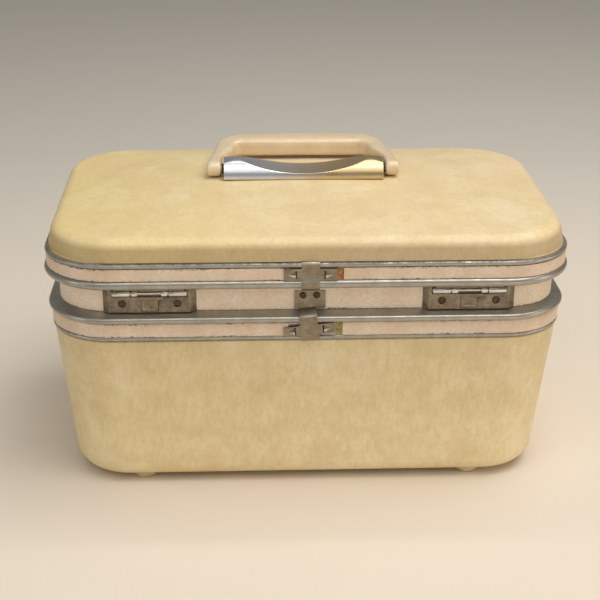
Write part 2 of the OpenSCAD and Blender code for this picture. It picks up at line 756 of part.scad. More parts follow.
module handle_bail() {
    // Plan of the +X half: an arm that is straight inside past the saddle's end and then draws in, a
    // wide outer corner, a tight inner one, and a bowed grip
    straight_y = pivot_y + 10.5;
    x0 = arm_x - arm_w / 2;
    x1 = arm_x + arm_w / 2;
    y0 = pivot_y + bail_reach - grip_w / 2;
    y1 = pivot_y + bail_reach + grip_w / 2;
    inner_r = 6.5;
    outer_r = 22.5;
    bow = 1.7;
    inner_turn = [x0 - 15, y0 - inner_r];
    outer_turn = [x1 - 28.4, y1 - 26.2];
    arm_rise = 0.8;
    end_taper = 0.18;
    grip_h0 = bail_end_r + 0.5;
    grip_h1 = bail_end_r + 2.4;
    ease = function (t) t * t * (3 - 2 * t);
    end = [for (t = [80, 60, 40, 20])
        let (y = pivot_y - bail_end_r * sin(t), h = bail_end_r * cos(t))
        let (w = arm_w / 2 * (1 - end_taper * (1 - cos(t))))
        bail_section([arm_x - w, y], [arm_x + w, y], h, h)];
    arm = [for (k = [0:6]) let (u = k / 7, y = pivot_y + (inner_turn.y - pivot_y) * u)
        let (e = ease(max(0, (y - straight_y) / (inner_turn.y - straight_y))))
        bail_section([x0 + (inner_turn.x + inner_r - x0) * e, y],
            [x1 + (outer_turn.x + outer_r - x1) * u, pivot_y + (outer_turn.y - pivot_y) * u],
            bail_end_r, bail_end_r + arm_rise * u)];
    corner = [for (t = [0:10:90]) let (e = ease(t / 90))
        bail_section(inner_turn + inner_r * [cos(t), sin(t)],
            outer_turn + [outer_r * cos(t), (y1 - bow - outer_turn.y) * sin(t)],
            bail_end_r + (grip_h0 - bail_end_r) * e,
            bail_end_r + arm_rise + (grip_h1 - bail_end_r - arm_rise) * e)];
    grip = [for (u = [0.7, 0.35])
        bail_section([inner_turn.x * u, y0], [outer_turn.x * u, y1 - bow * u * u], grip_h0, grip_h1)];
    half = concat(end, arm, corner, grip);
    mid = [bail_section([0, y0], [0, y1], grip_h0, grip_h1)];
    other = [for (k = [len(half) - 1:-1:0]) [for (p = half[k]) [-p.x, p.y, p.z]]];
    color("#ecd9b4") difference() {
        loft(concat(half, mid, other));
        for (s = [-1, 1])
            side_rod(s, 50, 64.4, pivot_y, bail_z, bail_pin_r + 0.05);
    }
}

// ---------------------------------------------------------------- tray

module tray() {
    low = tray_inset + 2.7;
    plan = function (inset, z) level(inset, z, lid_corner_r - inset);
    color("#e4c7bb") loft([
        plan(low + 3, tray_z), plan(low, tray_z + 3),
        plan(tray_inset + 1, tray_top - 2.5), plan(tray_inset, tray_top - 2),
        plan(tray_inset, tray_top), plan(tray_inset + 1 + tray_wall, tray_top),
        plan(low + tray_wall, tray_z + 4.5), plan(low + tray_wall + 2.5, tray_z + 2.2)]);
}

module tray_dividers() {
    z0 = tray_z + 2.3;
    z1 = tray_top - 7;
    x1 = case_w / 2 - tray_inset - 7.9;
    y1 = case_d / 2 - tray_inset - 7.9;
    cell_x = 51;
    half = divider_t / 2;
    color("#dfc0b4") {
        block([-x1, divider_y - half, z0], [x1, divider_y + half, z1]);
        for (s = [-1, 1])
            block([s * cell_x - half, divider_y + half, z0], [s * cell_x + half, y1, z1]);
    }
}

// ---------------------------------------------------------------- nodes

body_shell();
body_frame();
body_inlay();
neck_band();
feet();
body_lining();
tray_ledges();
at_back(-hinge_x) hinge_plate();  // hinge_plate_left
at_back(hinge_x) hinge_plate();  // hinge_plate_right
at_back(-hinge_x) hinge_stop();  // hinge_stop_left
at_back(hinge_x) hinge_stop();  // hinge_stop_right
at_back(-hinge_x) hinge_pin();  // hinge_pin_left
at_back(hinge_x) hinge_pin();  // hinge_pin_right
hinge_rivets();
joint_cover_lower();
joint_cover_rivets();
mirror([1, 0, 0]) at_front(latch_x) latch_base();  // latch_base_left
at_front(latch_x) latch_base();  // latch_base_right
mirror([1, 0, 0]) at_front(latch_x) latch_spring();  // latch_spring_left
at_front(latch_x) latch_spring();  // latch_spring_right
latch_rivets();
lid_shell();
lid_frame();
lid_inlay();
joint_cover_upper();
lid_lining();
mirror_frame();
mirror_glass();
at_back(-hinge_x) hinge_leaf();  // hinge_leaf_left
at_back(hinge_x) hinge_leaf();  // hinge_leaf_right
at_front(-latch_x) hasp_bracket();  // hasp_bracket_left
at_front(latch_x) hasp_bracket();  // hasp_bracket_right
at_front(-latch_x) hasp_pin();  // hasp_pin_left
at_front(latch_x) hasp_pin();  // hasp_pin_right
handle_saddle();
handle_plate();
handle_screws();
handle_pins();
handle_washers();
handle_bail();
at_front(-latch_x) hasp();  // hasp_left
at_front(latch_x) hasp();  // hasp_right
mirror([1, 0, 0]) at_front(latch_x) latch_slide();  // latch_slide_left
at_front(latch_x) latch_slide();  // latch_slide_right
mirror([1, 0, 0]) at_front(latch_x) lock_plug();  // lock_plug_left
at_front(latch_x) lock_plug();  // lock_plug_right
tray();
tray_dividers();
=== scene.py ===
"""Looks of a hard-shell makeup train case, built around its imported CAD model.

Modelling is done in millimetres and scaled to metres when a mesh is made. Profiles are lists of
(inset, height): inset is measured inwards from the lid ring's outer face, as in the CAD model.
"""

import json
import math

import bmesh
import bpy
import numpy as np
from mathutils import Matrix, Vector, noise

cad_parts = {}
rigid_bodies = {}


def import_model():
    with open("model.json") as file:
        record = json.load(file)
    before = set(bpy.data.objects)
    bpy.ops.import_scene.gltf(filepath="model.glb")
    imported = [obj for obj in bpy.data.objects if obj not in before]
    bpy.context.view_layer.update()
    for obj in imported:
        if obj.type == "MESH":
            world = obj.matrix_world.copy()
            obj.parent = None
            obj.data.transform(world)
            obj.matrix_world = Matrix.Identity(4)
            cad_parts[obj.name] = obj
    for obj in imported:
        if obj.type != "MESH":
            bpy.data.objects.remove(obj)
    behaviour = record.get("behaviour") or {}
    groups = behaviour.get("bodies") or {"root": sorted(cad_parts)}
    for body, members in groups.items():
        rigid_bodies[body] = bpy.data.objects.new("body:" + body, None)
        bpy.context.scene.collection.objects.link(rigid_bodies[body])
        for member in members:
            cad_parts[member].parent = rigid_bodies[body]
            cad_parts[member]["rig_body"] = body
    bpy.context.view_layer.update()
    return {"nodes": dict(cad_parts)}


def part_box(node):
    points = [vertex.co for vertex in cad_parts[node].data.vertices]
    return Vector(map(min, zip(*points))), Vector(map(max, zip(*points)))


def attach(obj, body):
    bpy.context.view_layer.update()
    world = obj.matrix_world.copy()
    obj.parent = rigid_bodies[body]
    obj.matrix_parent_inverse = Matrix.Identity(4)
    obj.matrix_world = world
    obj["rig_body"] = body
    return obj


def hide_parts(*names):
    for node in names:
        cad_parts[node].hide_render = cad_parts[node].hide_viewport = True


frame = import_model()

MM = 0.001


def box_mm(node):
    """Lowest and highest corner of a CAD node, in millimetres."""
    low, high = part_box(node)
    return low / MM, high / MM


# ---- sizes, from the frame

LID_LOW, LID_HIGH = box_mm("lid_frame")
BASE_LOW, BASE_HIGH = box_mm("body_frame")
SHELL_LOW, SHELL_HIGH = box_mm("body_shell")
CROWN_HIGH = box_mm("lid_shell")[1]
SADDLE_LOW, SADDLE_HIGH = box_mm("handle_saddle")
BAIL_HIGH = box_mm("handle_bail")[1]
PIN_LOW, PIN_HIGH = box_mm("handle_pins")
FOOT_HIGH = box_mm("feet")[1]
STRIP_LOW, STRIP_HIGH = box_mm("body_inlay")
LID_STRIP_LOW, LID_STRIP_HIGH = box_mm("lid_inlay")
BAND_LOW, BAND_HIGH = box_mm("neck_band")
LINING_HIGH = box_mm("body_lining")[1]
MIRROR_HIGH = box_mm("mirror_frame")[1]

HALF_W = LID_HIGH.x
HALF_D = LID_HIGH.y
CORNER = 45
LID_CORNER = CORNER + 5
SHELL_T = 2.5

TRIM_Z = BASE_LOW.z
TONGUE_TOP = BASE_HIGH.z
NECK_TOP = BAND_HIGH.z
LEDGE_Z = BAND_LOW.z - 0.2
OUTER_BEAD_Z = TRIM_Z + 14.65
LID_Z = LID_LOW.z
LID_TRIM_TOP = LID_HIGH.z
CROWN_H = 9
LID_TOP = CROWN_HIGH.z + 0.1
CROWN_Z = LID_TOP - CROWN_H
CREASE_R = 9
CREASE_Z = CROWN_Z - CREASE_R
CREASE_INSET = CREASE_R + 4.2

LINING_T = 1.2
FOOT_H = SHELL_LOW.z
WAIST_INSET = HALF_W - SHELL_HIGH.x
BOTTOM_ROUND = 12.7
BOTTOM_INSET = 13.5

SADDLE_Y = (SADDLE_LOW.y + SADDLE_HIGH.y) / 2
SADDLE_Z = SADDLE_LOW.z
SADDLE_HALF = SADDLE_HIGH.x
SADDLE_HALF_W = (SADDLE_HIGH.y - SADDLE_LOW.y) / 2
SADDLE_H = SADDLE_HIGH.z - SADDLE_LOW.z
PIVOT_Y = (PIN_LOW.y + PIN_HIGH.y) / 2
PIVOT_Z = (PIN_LOW.z + PIN_HIGH.z) / 2

# The strips stop short on one side of the joint covers, where the bare channel shows.
COVER_LEFT = -14
BARE_RIGHT = 21
BARE_X = 19.4
BARE_HALF = 3.4


# ---- meshes


def add_object(name, mesh):
    obj = bpy.data.objects.new(name, mesh)
    bpy.context.scene.collection.objects.link(obj)
    return obj


def smooth(mesh, sharp_deg=35):
    mesh.shade_smooth()
    mesh.set_sharp_from_angle(angle=math.radians(sharp_deg))


def make_mesh(name, points, faces, sharp_deg=35):
    """A smooth-shaded object from points in millimetres."""
    mesh = bpy.data.meshes.new(name)
    mesh.from_pydata((np.asarray(points, float) * MM).tolist(), [], [list(f) for f in faces])
    mesh.validate()
    smooth(mesh, sharp_deg)
    return add_object(name, mesh)


def bake_modifiers(obj, sharp_deg=None):
    """Replaces the object's mesh by its evaluated one, so that no modifier is left."""
    graph = bpy.context.evaluated_depsgraph_get()
    mesh = bpy.data.meshes.new_from_object(obj.evaluated_get(graph))
    obj.modifiers.clear()
    obj.data = mesh
    if sharp_deg is not None:
        smooth(mesh, sharp_deg)
    return obj


def join(name, parts, sharp_deg=35):
    """One object from several, with the first one's material slots."""
    merged = bmesh.new()
    for part in parts:
        merged.from_mesh(part.data)
    mesh = bpy.data.meshes.new(name)
    merged.to_mesh(mesh)
    merged.free()
    for material in parts[0].data.materials:
        mesh.materials.append(material)
    for part in parts:
        bpy.data.objects.remove(part)
    smooth(mesh, sharp_deg)
    return add_object(name, mesh)


def outline(half_x, half_y, radius, corner=14, along=(56, 32)):
    """Points of a rounded rectangle, from +X round through +Y, with the straights divided too."""
    points = []
    for quarter in range(4):
        side = np.array([1 if quarter in (0, 3) else -1, 1 if quarter < 2 else -1])
        centre = side * np.array([half_x - radius, half_y - radius])
        for k in range(corner + 1):
            turn = (quarter + k / corner) * math.pi / 2
            points.append(centre + radius * np.array([math.cos(turn), math.sin(turn)]))
        axis = quarter % 2
        steps = along[axis]
        reach = 2 * centre[axis]
        for k in range(1, steps):
            step = np.zeros(2)
            step[axis] = reach * k / steps
            points.append(points[-k] - step)
    return np.array(points)


def level(inset, z, radius):
    """One level of a shell: the case's outline at this inset, height and corner radius."""
    plan = outline(HALF_W - inset, HALF_D - inset, radius)
    return np.column_stack([plan, np.full(len(plan), z)])


def ring_level(inset, z):
    """A level whose corners follow the trim rings."""
    return level(inset, z, CORNER - inset)


def lid_level(inset, z):
    """A level whose corners follow the lid's crown."""
    return level(inset, z, LID_CORNER - inset)


def crown_level(scale, inset, z, height=0.0):
    """One level of a crown over the lid's outline at this inset, shrunk to a scale."""
    points = lid_level(inset, z)
    points[:, :2] *= scale
    x = np.abs(points[:, 0]) / (HALF_W - inset)
    y = np.abs(points[:, 1]) / (HALF_D - inset)
    points[:, 2] += height * (1 - x**2.6) * (1 - y**2.2)
    return points


def bottom_edge(flat_inset, radius, corner_r, steps):
    """Levels round a shell's bottom edge, from its flat underside up to its wall."""
    centre_z = FOOT_H + BOTTOM_ROUND
    levels = []
    for t in np.radians(np.linspace(0, 90, steps + 1)):
        out = radius * math.sin(t)
        levels.append(level(flat_inset - out, centre_z - radius * math.cos(t), corner_r + out))
    return levels


def grid_faces(rows, columns, wrap_rows=False):
    """Quads between rows of a grid whose rows are closed loops."""
    faces = []
    for r in range(rows if wrap_rows else rows - 1):
        above = (r + 1) % rows
        for c in range(columns):
            d = (c + 1) % columns
            faces.append((r * columns + c, r * columns + d, above * columns + d, above * columns + c))
    return faces


def loft(name, levels, caps=(True, True), sharp_deg=35):
    """A solid through closed levels, with a fan to the middle of its first and last one."""
    count = len(levels)
    size = len(levels[0])
    points = [p for one in levels for p in one]
    faces = grid_faces(count, size)
    if caps[0]:
        points.append(np.mean(levels[0], axis=0))
        tip = len(points) - 1
        faces += [(tip, (c + 1) % size, c) for c in range(size)]
    if caps[1]:
        points.append(np.mean(levels[-1], axis=0))
        tip = len(points) - 1
        start = (count - 1) * size
        faces += [(tip, start + c, start + (c + 1) % size) for c in range(size)]
    return make_mesh(name, points, faces, sharp_deg)


def arc(inset, z, radius, start_deg, end_deg, steps=8):
    """Points of an arc in (inset, height)."""
    turns = np.radians(np.linspace(start_deg, end_deg, steps + 1))
    return [(inset + radius * math.cos(t), z + radius * math.sin(t)) for t in turns]


def trim_ring(name, profile, wave=0.0):
    """A closed profile swept round the case, slightly wavy as worn trim is."""
    levels = [ring_level(inset, z) for inset, z in profile]
    size = len(levels[0])
    points = np.concatenate(levels)
    if wave:
        for k, p in enumerate(points):
            shift = noise.noise(Vector((p[0] / 38, p[1] / 38, 0.7)))
            lift = noise.noise(Vector((p[0] / 55, p[1] / 55, 9.3)))
            away = np.array([p[0] / HALF_W, p[1] / HALF_D]) * wave * shift
            points[k] = (p[0] + away[0], p[1] + away[1], p[2] + 0.6 * wave * lift)
    faces = grid_faces(len(profile), size, wrap_rows=True)
    return make_mesh(name, points, faces, 30)


def rounded_strip(face, z0, z1, thickness=0.65, radius=0.25):
    """Profile of a vinyl strip with softly rounded outer edges."""
    profile = [(face + thickness, z0)]
    profile += arc(face + radius, z0 + radius, radius, 270, 180, 4)
    profile += [(face, z0 + (z1 - z0) * k / 6) for k in range(1, 6)]
    profile += arc(face + radius, z1 - radius, radius, 180, 90, 4)
    return profile + [(face + thickness, z1)]


def outward(obj, sharp_deg=35):
    """Welds a closed piece and turns all its faces outwards."""
    work = bmesh.new()
    work.from_mesh(obj.data)
    bmesh.ops.remove_doubles(work, verts=work.verts, dist=0.002 * MM)
    bmesh.ops.recalc_face_normals(work, faces=work.faces)
    work.to_mesh(obj.data)
    work.free()
    smooth(obj.data, sharp_deg)
    return obj


def cut_away(obj, low, high):
    """Removes a box, in millimetres, from an object."""
    cutter = make_mesh(
        "cutter",
        [(x, y, z) for x in (low[0], high[0]) for y in (low[1], high[1]) for z in (low[2], high[2])],
        [(0, 1, 3, 2), (4, 6, 7, 5), (0, 4, 5, 1), (2, 3, 7, 6), (0, 2, 6, 4), (1, 5, 7, 3)],
    )
    modifier = obj.modifiers.new("cut", "BOOLEAN")
    modifier.operation = "DIFFERENCE"
    modifier.solver = "EXACT"
    modifier.object = cutter
    bake_modifiers(obj, 30)
    bpy.data.objects.remove(cutter)
    return obj


def lathe(name, profile, place=(0, 0, 0), turns=40):
    """A round part about the vertical through a place, from its (radius, height) outline."""
    levels = []
    for radius, z in profile:
        t = np.linspace(0, 2 * math.pi, turns, endpoint=False)
        ring = np.column_stack([radius * np.cos(t), radius * np.sin(t), np.full(turns, z)])
        levels.append(ring + np.array(place))
    return loft(name, levels)


def refined(node, edge=0.2, segments=2, angle_deg=28):
    """A copy of a CAD node with clean faces and softened edges, standing for the node.

    The softened edges are material 1 and the rest is material 0.
    """
    source = frame["nodes"][node]
    work = bmesh.new()
    work.from_mesh(source.data)
    bmesh.ops.remove_doubles(work, verts=work.verts, dist=0.002 * MM)
    bmesh.ops.dissolve_limit(
        work, angle_limit=math.radians(1.5), verts=work.verts, edges=work.edges
    )
    for face in work.faces:
        face.material_index = 0
    mesh = bpy.data.meshes.new(f"{node}_fine")
    work.to_mesh(mesh)
    work.free()
    mesh.materials.clear()
    for _ in range(2):
        mesh.materials.append(MATERIALS["stage"])
    obj = add_object(mesh.name, mesh)
    bevel = obj.modifiers.new("edges", "BEVEL")
    bevel.width = edge * MM
    bevel.segments = segments
    bevel.limit_method = "ANGLE"
    bevel.angle_limit = math.radians(angle_deg)
    bevel.use_clamp_overlap = True
    bevel.material = 1
    bake_modifiers(obj, 40)
    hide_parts(node)
    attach(obj, source["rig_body"])
    return obj


# ---- materials


def srgb(red, green, blue):
    """An 8-bit colour as linear red, green, blue and alpha."""

    def linear(value):
        value /= 255
        return value / 12.92 if value <= 0.04045 else ((value + 0.055) / 1.055) ** 2.4

    return (linear(red), linear(green), linear(blue), 1.0)


class Paint:
    """Builds one procedural material. Patterns are placed in the case's own coordinates."""

    def __init__(self, name, **constants):
        self.material = bpy.data.materials.new(name)
        self.material.use_nodes = True
        self.tree = self.material.node_tree
        self.shader = self.tree.nodes["Principled BSDF"]
        self.place = self.tree.nodes.new("ShaderNodeTexCoord").outputs["Object"]
        self.set(**constants)

    def feed(self, socket, value):
        """Sets a socket to a number or an 8-bit colour, or links it to another socket."""
        if isinstance(value, tuple):
            socket.default_value = srgb(*value)
        elif isinstance(value, (int, float)):
            socket.default_value = value
        else:
            self.tree.links.new(value, socket)

    def node(self, kind, feeds, **settings):
        made = self.tree.nodes.new(kind)
        for key, value in settings.items():
            setattr(made, key, value)
        for key, value in feeds.items():
            self.feed(made.inputs[key], value)
        return made

    def scaled(self, size, stretch):
        """Object coordinates in units of size millimetres, stretched along each axis."""
        mapping = self.node("ShaderNodeMapping", {"Vector": self.place})
        mapping.inputs["Scale"].default_value = [1 / (size * s) / MM for s in stretch]
        return mapping.outputs["Vector"]

    def noise(self, size, detail=3.0, rough=0.55, stretch=(1, 1, 1), shift=0.0):
        """Noise whose features are about this many millimetres across, stretched along some axis."""
        feeds = {"Scale": 1.0, "Detail": detail, "Roughness": rough, "W": shift}
        feeds["Vector"] = self.scaled(size, stretch)
        return self.node("ShaderNodeTexNoise", feeds, noise_dimensions="4D").outputs["Fac"]

    def cells(self, size):
        """Distance to the nearest of scattered points, which are about size millimetres apart."""
        feeds = {"Scale": 1.0, "Vector": self.scaled(size, (1, 1, 1))}
        return self.node("ShaderNodeTexVoronoi", feeds, feature="F1").outputs["Distance"]

    def ramp(self, fac, stops):
        """Colour by position along a factor: stops are (place, colour)."""
        made = self.node("ShaderNodeValToRGB", {"Fac": fac})
        elements = made.color_ramp.elements
        while len(elements) < len(stops):
            elements.new(0.5)
        for element, (place, colour) in zip(elements, stops):
            element.position = place
            element.color = srgb(*colour)
        return made.outputs["Color"]

    def spread(self, fac, low, high, to_low=0.0, to_high=1.0):
        """Maps a factor's range low..high to another range, and holds it there outside."""
        feeds = {"Value": fac, "From Min": low, "From Max": high, "To Min": to_low, "To Max": to_high}
        return self.node("ShaderNodeMapRange", feeds, clamp=True).outputs["Result"]

    def math(self, operation, a, b=0.0):
        return self.node("ShaderNodeMath", {0: a, 1: b}, operation=operation).outputs[0]

    def mix(self, fac, a, b, blend="MIX"):
        feeds = {0: fac, 6: a, 7: b}
        return self.node("ShaderNodeMix", feeds, data_type="RGBA", blend_type=blend).outputs[2]

    def over(self, under, top, fac, low, high, most=1.0):
        """Lays one colour over another as a factor goes from low to high."""
        return self.mix(self.spread(fac, low, high, 0.0, most), under, top)

    def axis(self, name):
        """One coordinate in millimetres."""
        split = self.node("ShaderNodeSeparateXYZ", {"Vector": self.place})
        return self.math("MULTIPLY", split.outputs[name.upper()], 1 / MM)

    def near(self, name, centre, reach):
        """1 at a coordinate's centre value, falling to 0 at reach millimetres from it."""
        away = self.math("ABSOLUTE", self.math("SUBTRACT", self.axis(name), centre))
        return self.spread(away, 0.0, reach, 1.0, 0.0)

    def near_any(self, name, centres, reach):
        """The largest of near() for several centre values."""
        found = 0.0
        for centre in centres:
            found = self.math("MAXIMUM", found, self.near(name, centre, reach))
        return found

    def bump(self, height, depth, strength=1.0):
        """Adds relief of this depth in millimetres, over any relief added before."""
        made = self.node("ShaderNodeBump", {"Height": height, "Distance": depth * MM, "Strength": strength})
        normal = self.shader.inputs["Normal"]
        if normal.links:
            self.tree.links.new(normal.links[0].from_socket, made.inputs["Normal"])
        self.tree.links.new(made.outputs["Normal"], normal)

    def set(self, **sockets):
        """Links or sets shader inputs by name, such as base_color."""
        for key, value in sockets.items():
            title = key.replace("_", " ").title().replace("Ior", "IOR")
            self.feed(self.shader.inputs[title], value)

    def base_color(self):
        """What the shader's base colour is linked to."""
        return self.shader.inputs["Base Color"].links[0].from_socket


def shell_paint(name, pale, warm, shade, painted_shade_band):
    """Textured ivory vinyl: a fine pebble grain, cloudy mottling and faint upright streaks, with painted
    shade over a band of height.
    """
    paint = Paint(name, roughness=0.45)
    patches = paint.noise(24, detail=6, rough=0.68)
    streaks = paint.noise(3.6, detail=6, rough=0.78, stretch=(0.9, 0.9, 2.6))
    fine = paint.noise(0.9, detail=4, rough=0.75, stretch=(0.8, 0.8, 1.6))
    across = paint.spread(paint.axis("x"), -HALF_W, HALF_W)
    colour = paint.over(warm, pale, across, 0.0, 0.55)
    colour = paint.over(colour, shade, patches, 0.42, 0.66, 0.6)
    colour = paint.over(colour, shade, streaks, 0.46, 0.62, 0.55)
    colour = paint.over(colour, shade, fine, 0.35, 0.65, 0.4)
    # Painted shade: the vinyl is darkened over a band of height, from low to high. On the base it darkens
    # towards the trim under the lid's overhang. On the lid it darkens the sides below the crown, which face
    # away from the overhead light.
    low, high, darkest = painted_shade_band
    faded = paint.spread(paint.noise(38, detail=5, rough=0.7, shift=5.0), 0.5, 0.66, 0.0, 0.4)
    colour = paint.mix(faded, colour, (248, 236, 204))
    painted_shade = paint.over((255, 255, 255), (178, 166, 150), paint.axis("z"), low, high, darkest)
    colour = paint.mix(1.0, colour, painted_shade, "MULTIPLY")
    pebble = paint.cells(1.05)
    wrinkle = paint.noise(2.0, detail=6, rough=0.65)
    paint.set(base_color=colour, roughness=paint.spread(pebble, 0.2, 0.8, 0.3, 0.5))
    paint.bump(wrinkle, 0.3, 0.6)
    paint.bump(pebble, 0.24, 0.6)
    return paint


def brushed_paint(name, colour, dark, roughness, size=0.7, stretch=(30, 30, 0.5), speckle=0.5):
    """Satin metal with fine drawn lines along its length, dull spots and small dents."""
    paint = Paint(name, metallic=1.0)
    lines = paint.noise(size, detail=3, rough=0.6, stretch=stretch)
    dull = paint.noise(9, detail=5, rough=0.65)
    spots = paint.noise(1.6, detail=4, rough=0.7)
    tone = paint.over(colour, dark, dull, 0.4, 0.7, 0.6)
    tone = paint.over(tone, dark, spots, 0.62, 0.72, speckle)
    tone = paint.over(tone, dark, lines, 0.35, 0.65, 0.35)
    paint.set(base_color=tone, roughness=paint.spread(dull, 0.35, 0.7, roughness, roughness + 0.16))
    paint.bump(lines, 0.02, 0.35)
    paint.bump(dull, 0.12, 0.25)
    return paint


def trim_paint(name, seams, channel, patch):
    """Aluminium trim with dirt in its seams, and old glue or rust where the strip is missing."""
    paint = brushed_paint(name, (182, 178, 168), (146, 141, 130), 0.3, speckle=0.12)
    dirt = paint.near_any("z", seams, 0.75)
    patchy = paint.spread(paint.noise(4.5, detail=6, rough=0.75), 0.36, 0.6)
    dirt = paint.math("MULTIPLY", dirt, patchy)
    middle = (channel[0] + channel[1]) / 2
    inside = paint.spread(paint.near("z", middle, (channel[1] - channel[0]) / 2), 0.02, 0.12)
    beside = paint.spread(paint.near("x", BARE_X, BARE_HALF), 0.02, 0.25)
    behind = paint.spread(paint.axis("y"), -HALF_D + 12, -HALF_D + 10)
    bare = paint.math("MULTIPLY", paint.math("MULTIPLY", inside, beside), behind)
    colour = paint.mix(dirt, paint.base_color(), (58, 44, 32))
    colour = paint.mix(bare, colour, paint.ramp(paint.noise(2.2, detail=5, rough=0.7), patch))
    cover = paint.math("MAXIMUM", dirt, bare)
    paint.set(base_color=colour, metallic=paint.spread(cover, 0.1, 0.6, 0.95, 0.1))
    return paint


def strip_paint(name, edges, light, dark):
    """Pinkish ivory vinyl strip with a fine grain and dirt specks along its edges."""
    paint = Paint(name, roughness=0.55)
    grain = paint.noise(1.3, detail=5, rough=0.7, stretch=(1.5, 1.5, 0.8))
    stains = paint.noise(17, detail=5, rough=0.6)
    specks = paint.noise(0.9, detail=3, rough=0.6, stretch=(2.2, 2.2, 0.8))
    colour = paint.over(light, dark, stains, 0.35, 0.7)
    colour = paint.over(colour, (190, 164, 140), grain, 0.4, 0.65, 0.4)
    dirt = paint.near_any("z", edges, 1.3)
    groups = paint.spread(paint.noise(26, detail=3, rough=0.5, shift=2.0), 0.46, 0.6, 0.25, 1.0)
    dirt = paint.math("MULTIPLY", paint.spread(dirt, 0.1, 0.7), paint.spread(specks, 0.48, 0.58))
    dirt = paint.math("MULTIPLY", dirt, groups)
    colour = paint.mix(dirt, colour, (62, 42, 28))
    paint.set(base_color=colour, roughness=paint.spread(grain, 0.3, 0.7, 0.48, 0.66))
    paint.bump(grain, 0.1, 0.5)
    return paint


def hinge_paint():
    """Aged nickel plate gone grey-brown, with stains and fine pits."""
    paint = brushed_paint("aged_nickel", (150, 138, 120), (104, 92, 76), 0.32, 0.9, (3, 3, 1))
    pits = paint.cells(0.9)
    stains = paint.spread(paint.noise(3.5, detail=6, rough=0.75), 0.5, 0.7, 0.0, 0.8)
    paint.set(base_color=paint.mix(stains, paint.base_color(), (78, 60, 44)))
    paint.bump(paint.spread(pits, 0.0, 0.25), 0.03, 0.4)
    return paint


def worn_paint(name, colour, dark):
    """Plating rubbed bright along an edge, broken by dull and stained lengths."""
    paint = Paint(name, metallic=1.0)
    breaks = paint.noise(2.6, detail=5, rough=0.7)
    fine = paint.noise(0.6, detail=3, rough=0.6)
    tone = paint.over(colour, dark, breaks, 0.44, 0.64)
    tone = paint.over(tone, dark, fine, 0.5, 0.75, 0.5)
    paint.set(base_color=tone, roughness=paint.spread(breaks, 0.4, 0.7, 0.22, 0.42))
    paint.bump(fine, 0.02, 0.3)
    return paint


def polished_paint(name, colour, dark, roughness=0.12):
    """Bright metal with light handling marks and a thin haze."""
    paint = Paint(name, metallic=1.0)
    haze = paint.noise(6, detail=5, rough=0.6)
    scratches = paint.noise(0.5, detail=2, rough=0.5, stretch=(14, 1, 1))
    tone = paint.over(colour, dark, haze, 0.4, 0.7, 0.7)
    paint.set(base_color=tone, roughness=paint.spread(haze, 0.35, 0.7, roughness, roughness + 0.14))
    paint.bump(scratches, 0.008, 0.25)
    return paint


def saddle_paint():
    """Satin chrome drawn lengthways, slightly hazy where hands rub it, with a painted reflection from cool
    silver to gold along its length.
    """
    paint = Paint("saddle_satin_chrome", metallic=1.0)
    lines = paint.noise(0.4, detail=3, rough=0.6, stretch=(60, 1, 1))
    haze = paint.noise(16, detail=4, rough=0.55)
    # Painted reflection: the chrome's colour runs from cool silver on the left to gold on the right, as
    # coloured reflections would tint it.
    along = paint.spread(paint.axis("x"), -SADDLE_HALF * 0.45, SADDLE_HALF * 0.35)
    tone = paint.mix(along, (226, 230, 238), (222, 194, 140))
    tone = paint.over(tone, (182, 176, 166), lines, 0.3, 0.7, 0.25)
    tone = paint.over(tone, (170, 162, 148), haze, 0.4, 0.7, 0.2)
    paint.set(base_color=tone, roughness=paint.spread(haze, 0.3, 0.7, 0.27, 0.34))
    paint.bump(lines, 0.008, 0.3)
    return paint


def rust_paint():
    """Rivet heads gone to dark red-brown rust with a little metal left."""
    paint = Paint("rivet_rust", roughness=0.7)
    flakes = paint.noise(1.1, detail=6, rough=0.75)
    colour = paint.ramp(
        flakes,
        [(0.3, (38, 28, 18)), (0.48, (72, 52, 34)), (0.62, (104, 80, 54)), (0.75, (150, 134, 108))],
    )
    paint.set(base_color=colour, metallic=paint.spread(flakes, 0.6, 0.72, 0.15, 0.9))
    paint.set(roughness=paint.spread(flakes, 0.4, 0.7, 0.75, 0.4))
    paint.bump(flakes, 0.2, 0.7)
    return paint


def bail_paint():
    """Glossy cream plastic, faintly clouded and dulled in patches by handling."""
    paint = Paint("bail_cream_plastic", coat_weight=0.6, coat_roughness=0.06, ior=1.5)
    cloud = paint.noise(14, detail=4, rough=0.55)
    fine = paint.noise(0.9, detail=3, rough=0.6)
    colour = paint.over((234, 214, 180), (224, 198, 160), cloud, 0.35, 0.7)
    colour = paint.over(colour, (206, 180, 142), fine, 0.45, 0.75, 0.18)
    paint.set(base_color=colour, roughness=paint.spread(cloud, 0.35, 0.7, 0.22, 0.34))
    paint.bump(fine, 0.006, 0.2)
    return paint


def plastic_paint(name, light, dark, roughness=0.4, grain=0.8):
    """Moulded plastic with a slight sink pattern and dusty grain."""
    paint = Paint(name)
    cloud = paint.noise(9, detail=5, rough=0.6)
    fine = paint.noise(grain, detail=3, rough=0.6)
    colour = paint.over(light, dark, cloud, 0.35, 0.7)
    colour = paint.over(colour, dark, fine, 0.45, 0.7, 0.3)
    paint.set(base_color=colour, roughness=paint.spread(fine, 0.3, 0.7, roughness, roughness + 0.15))
    paint.bump(fine, 0.06, 0.4)
    return paint


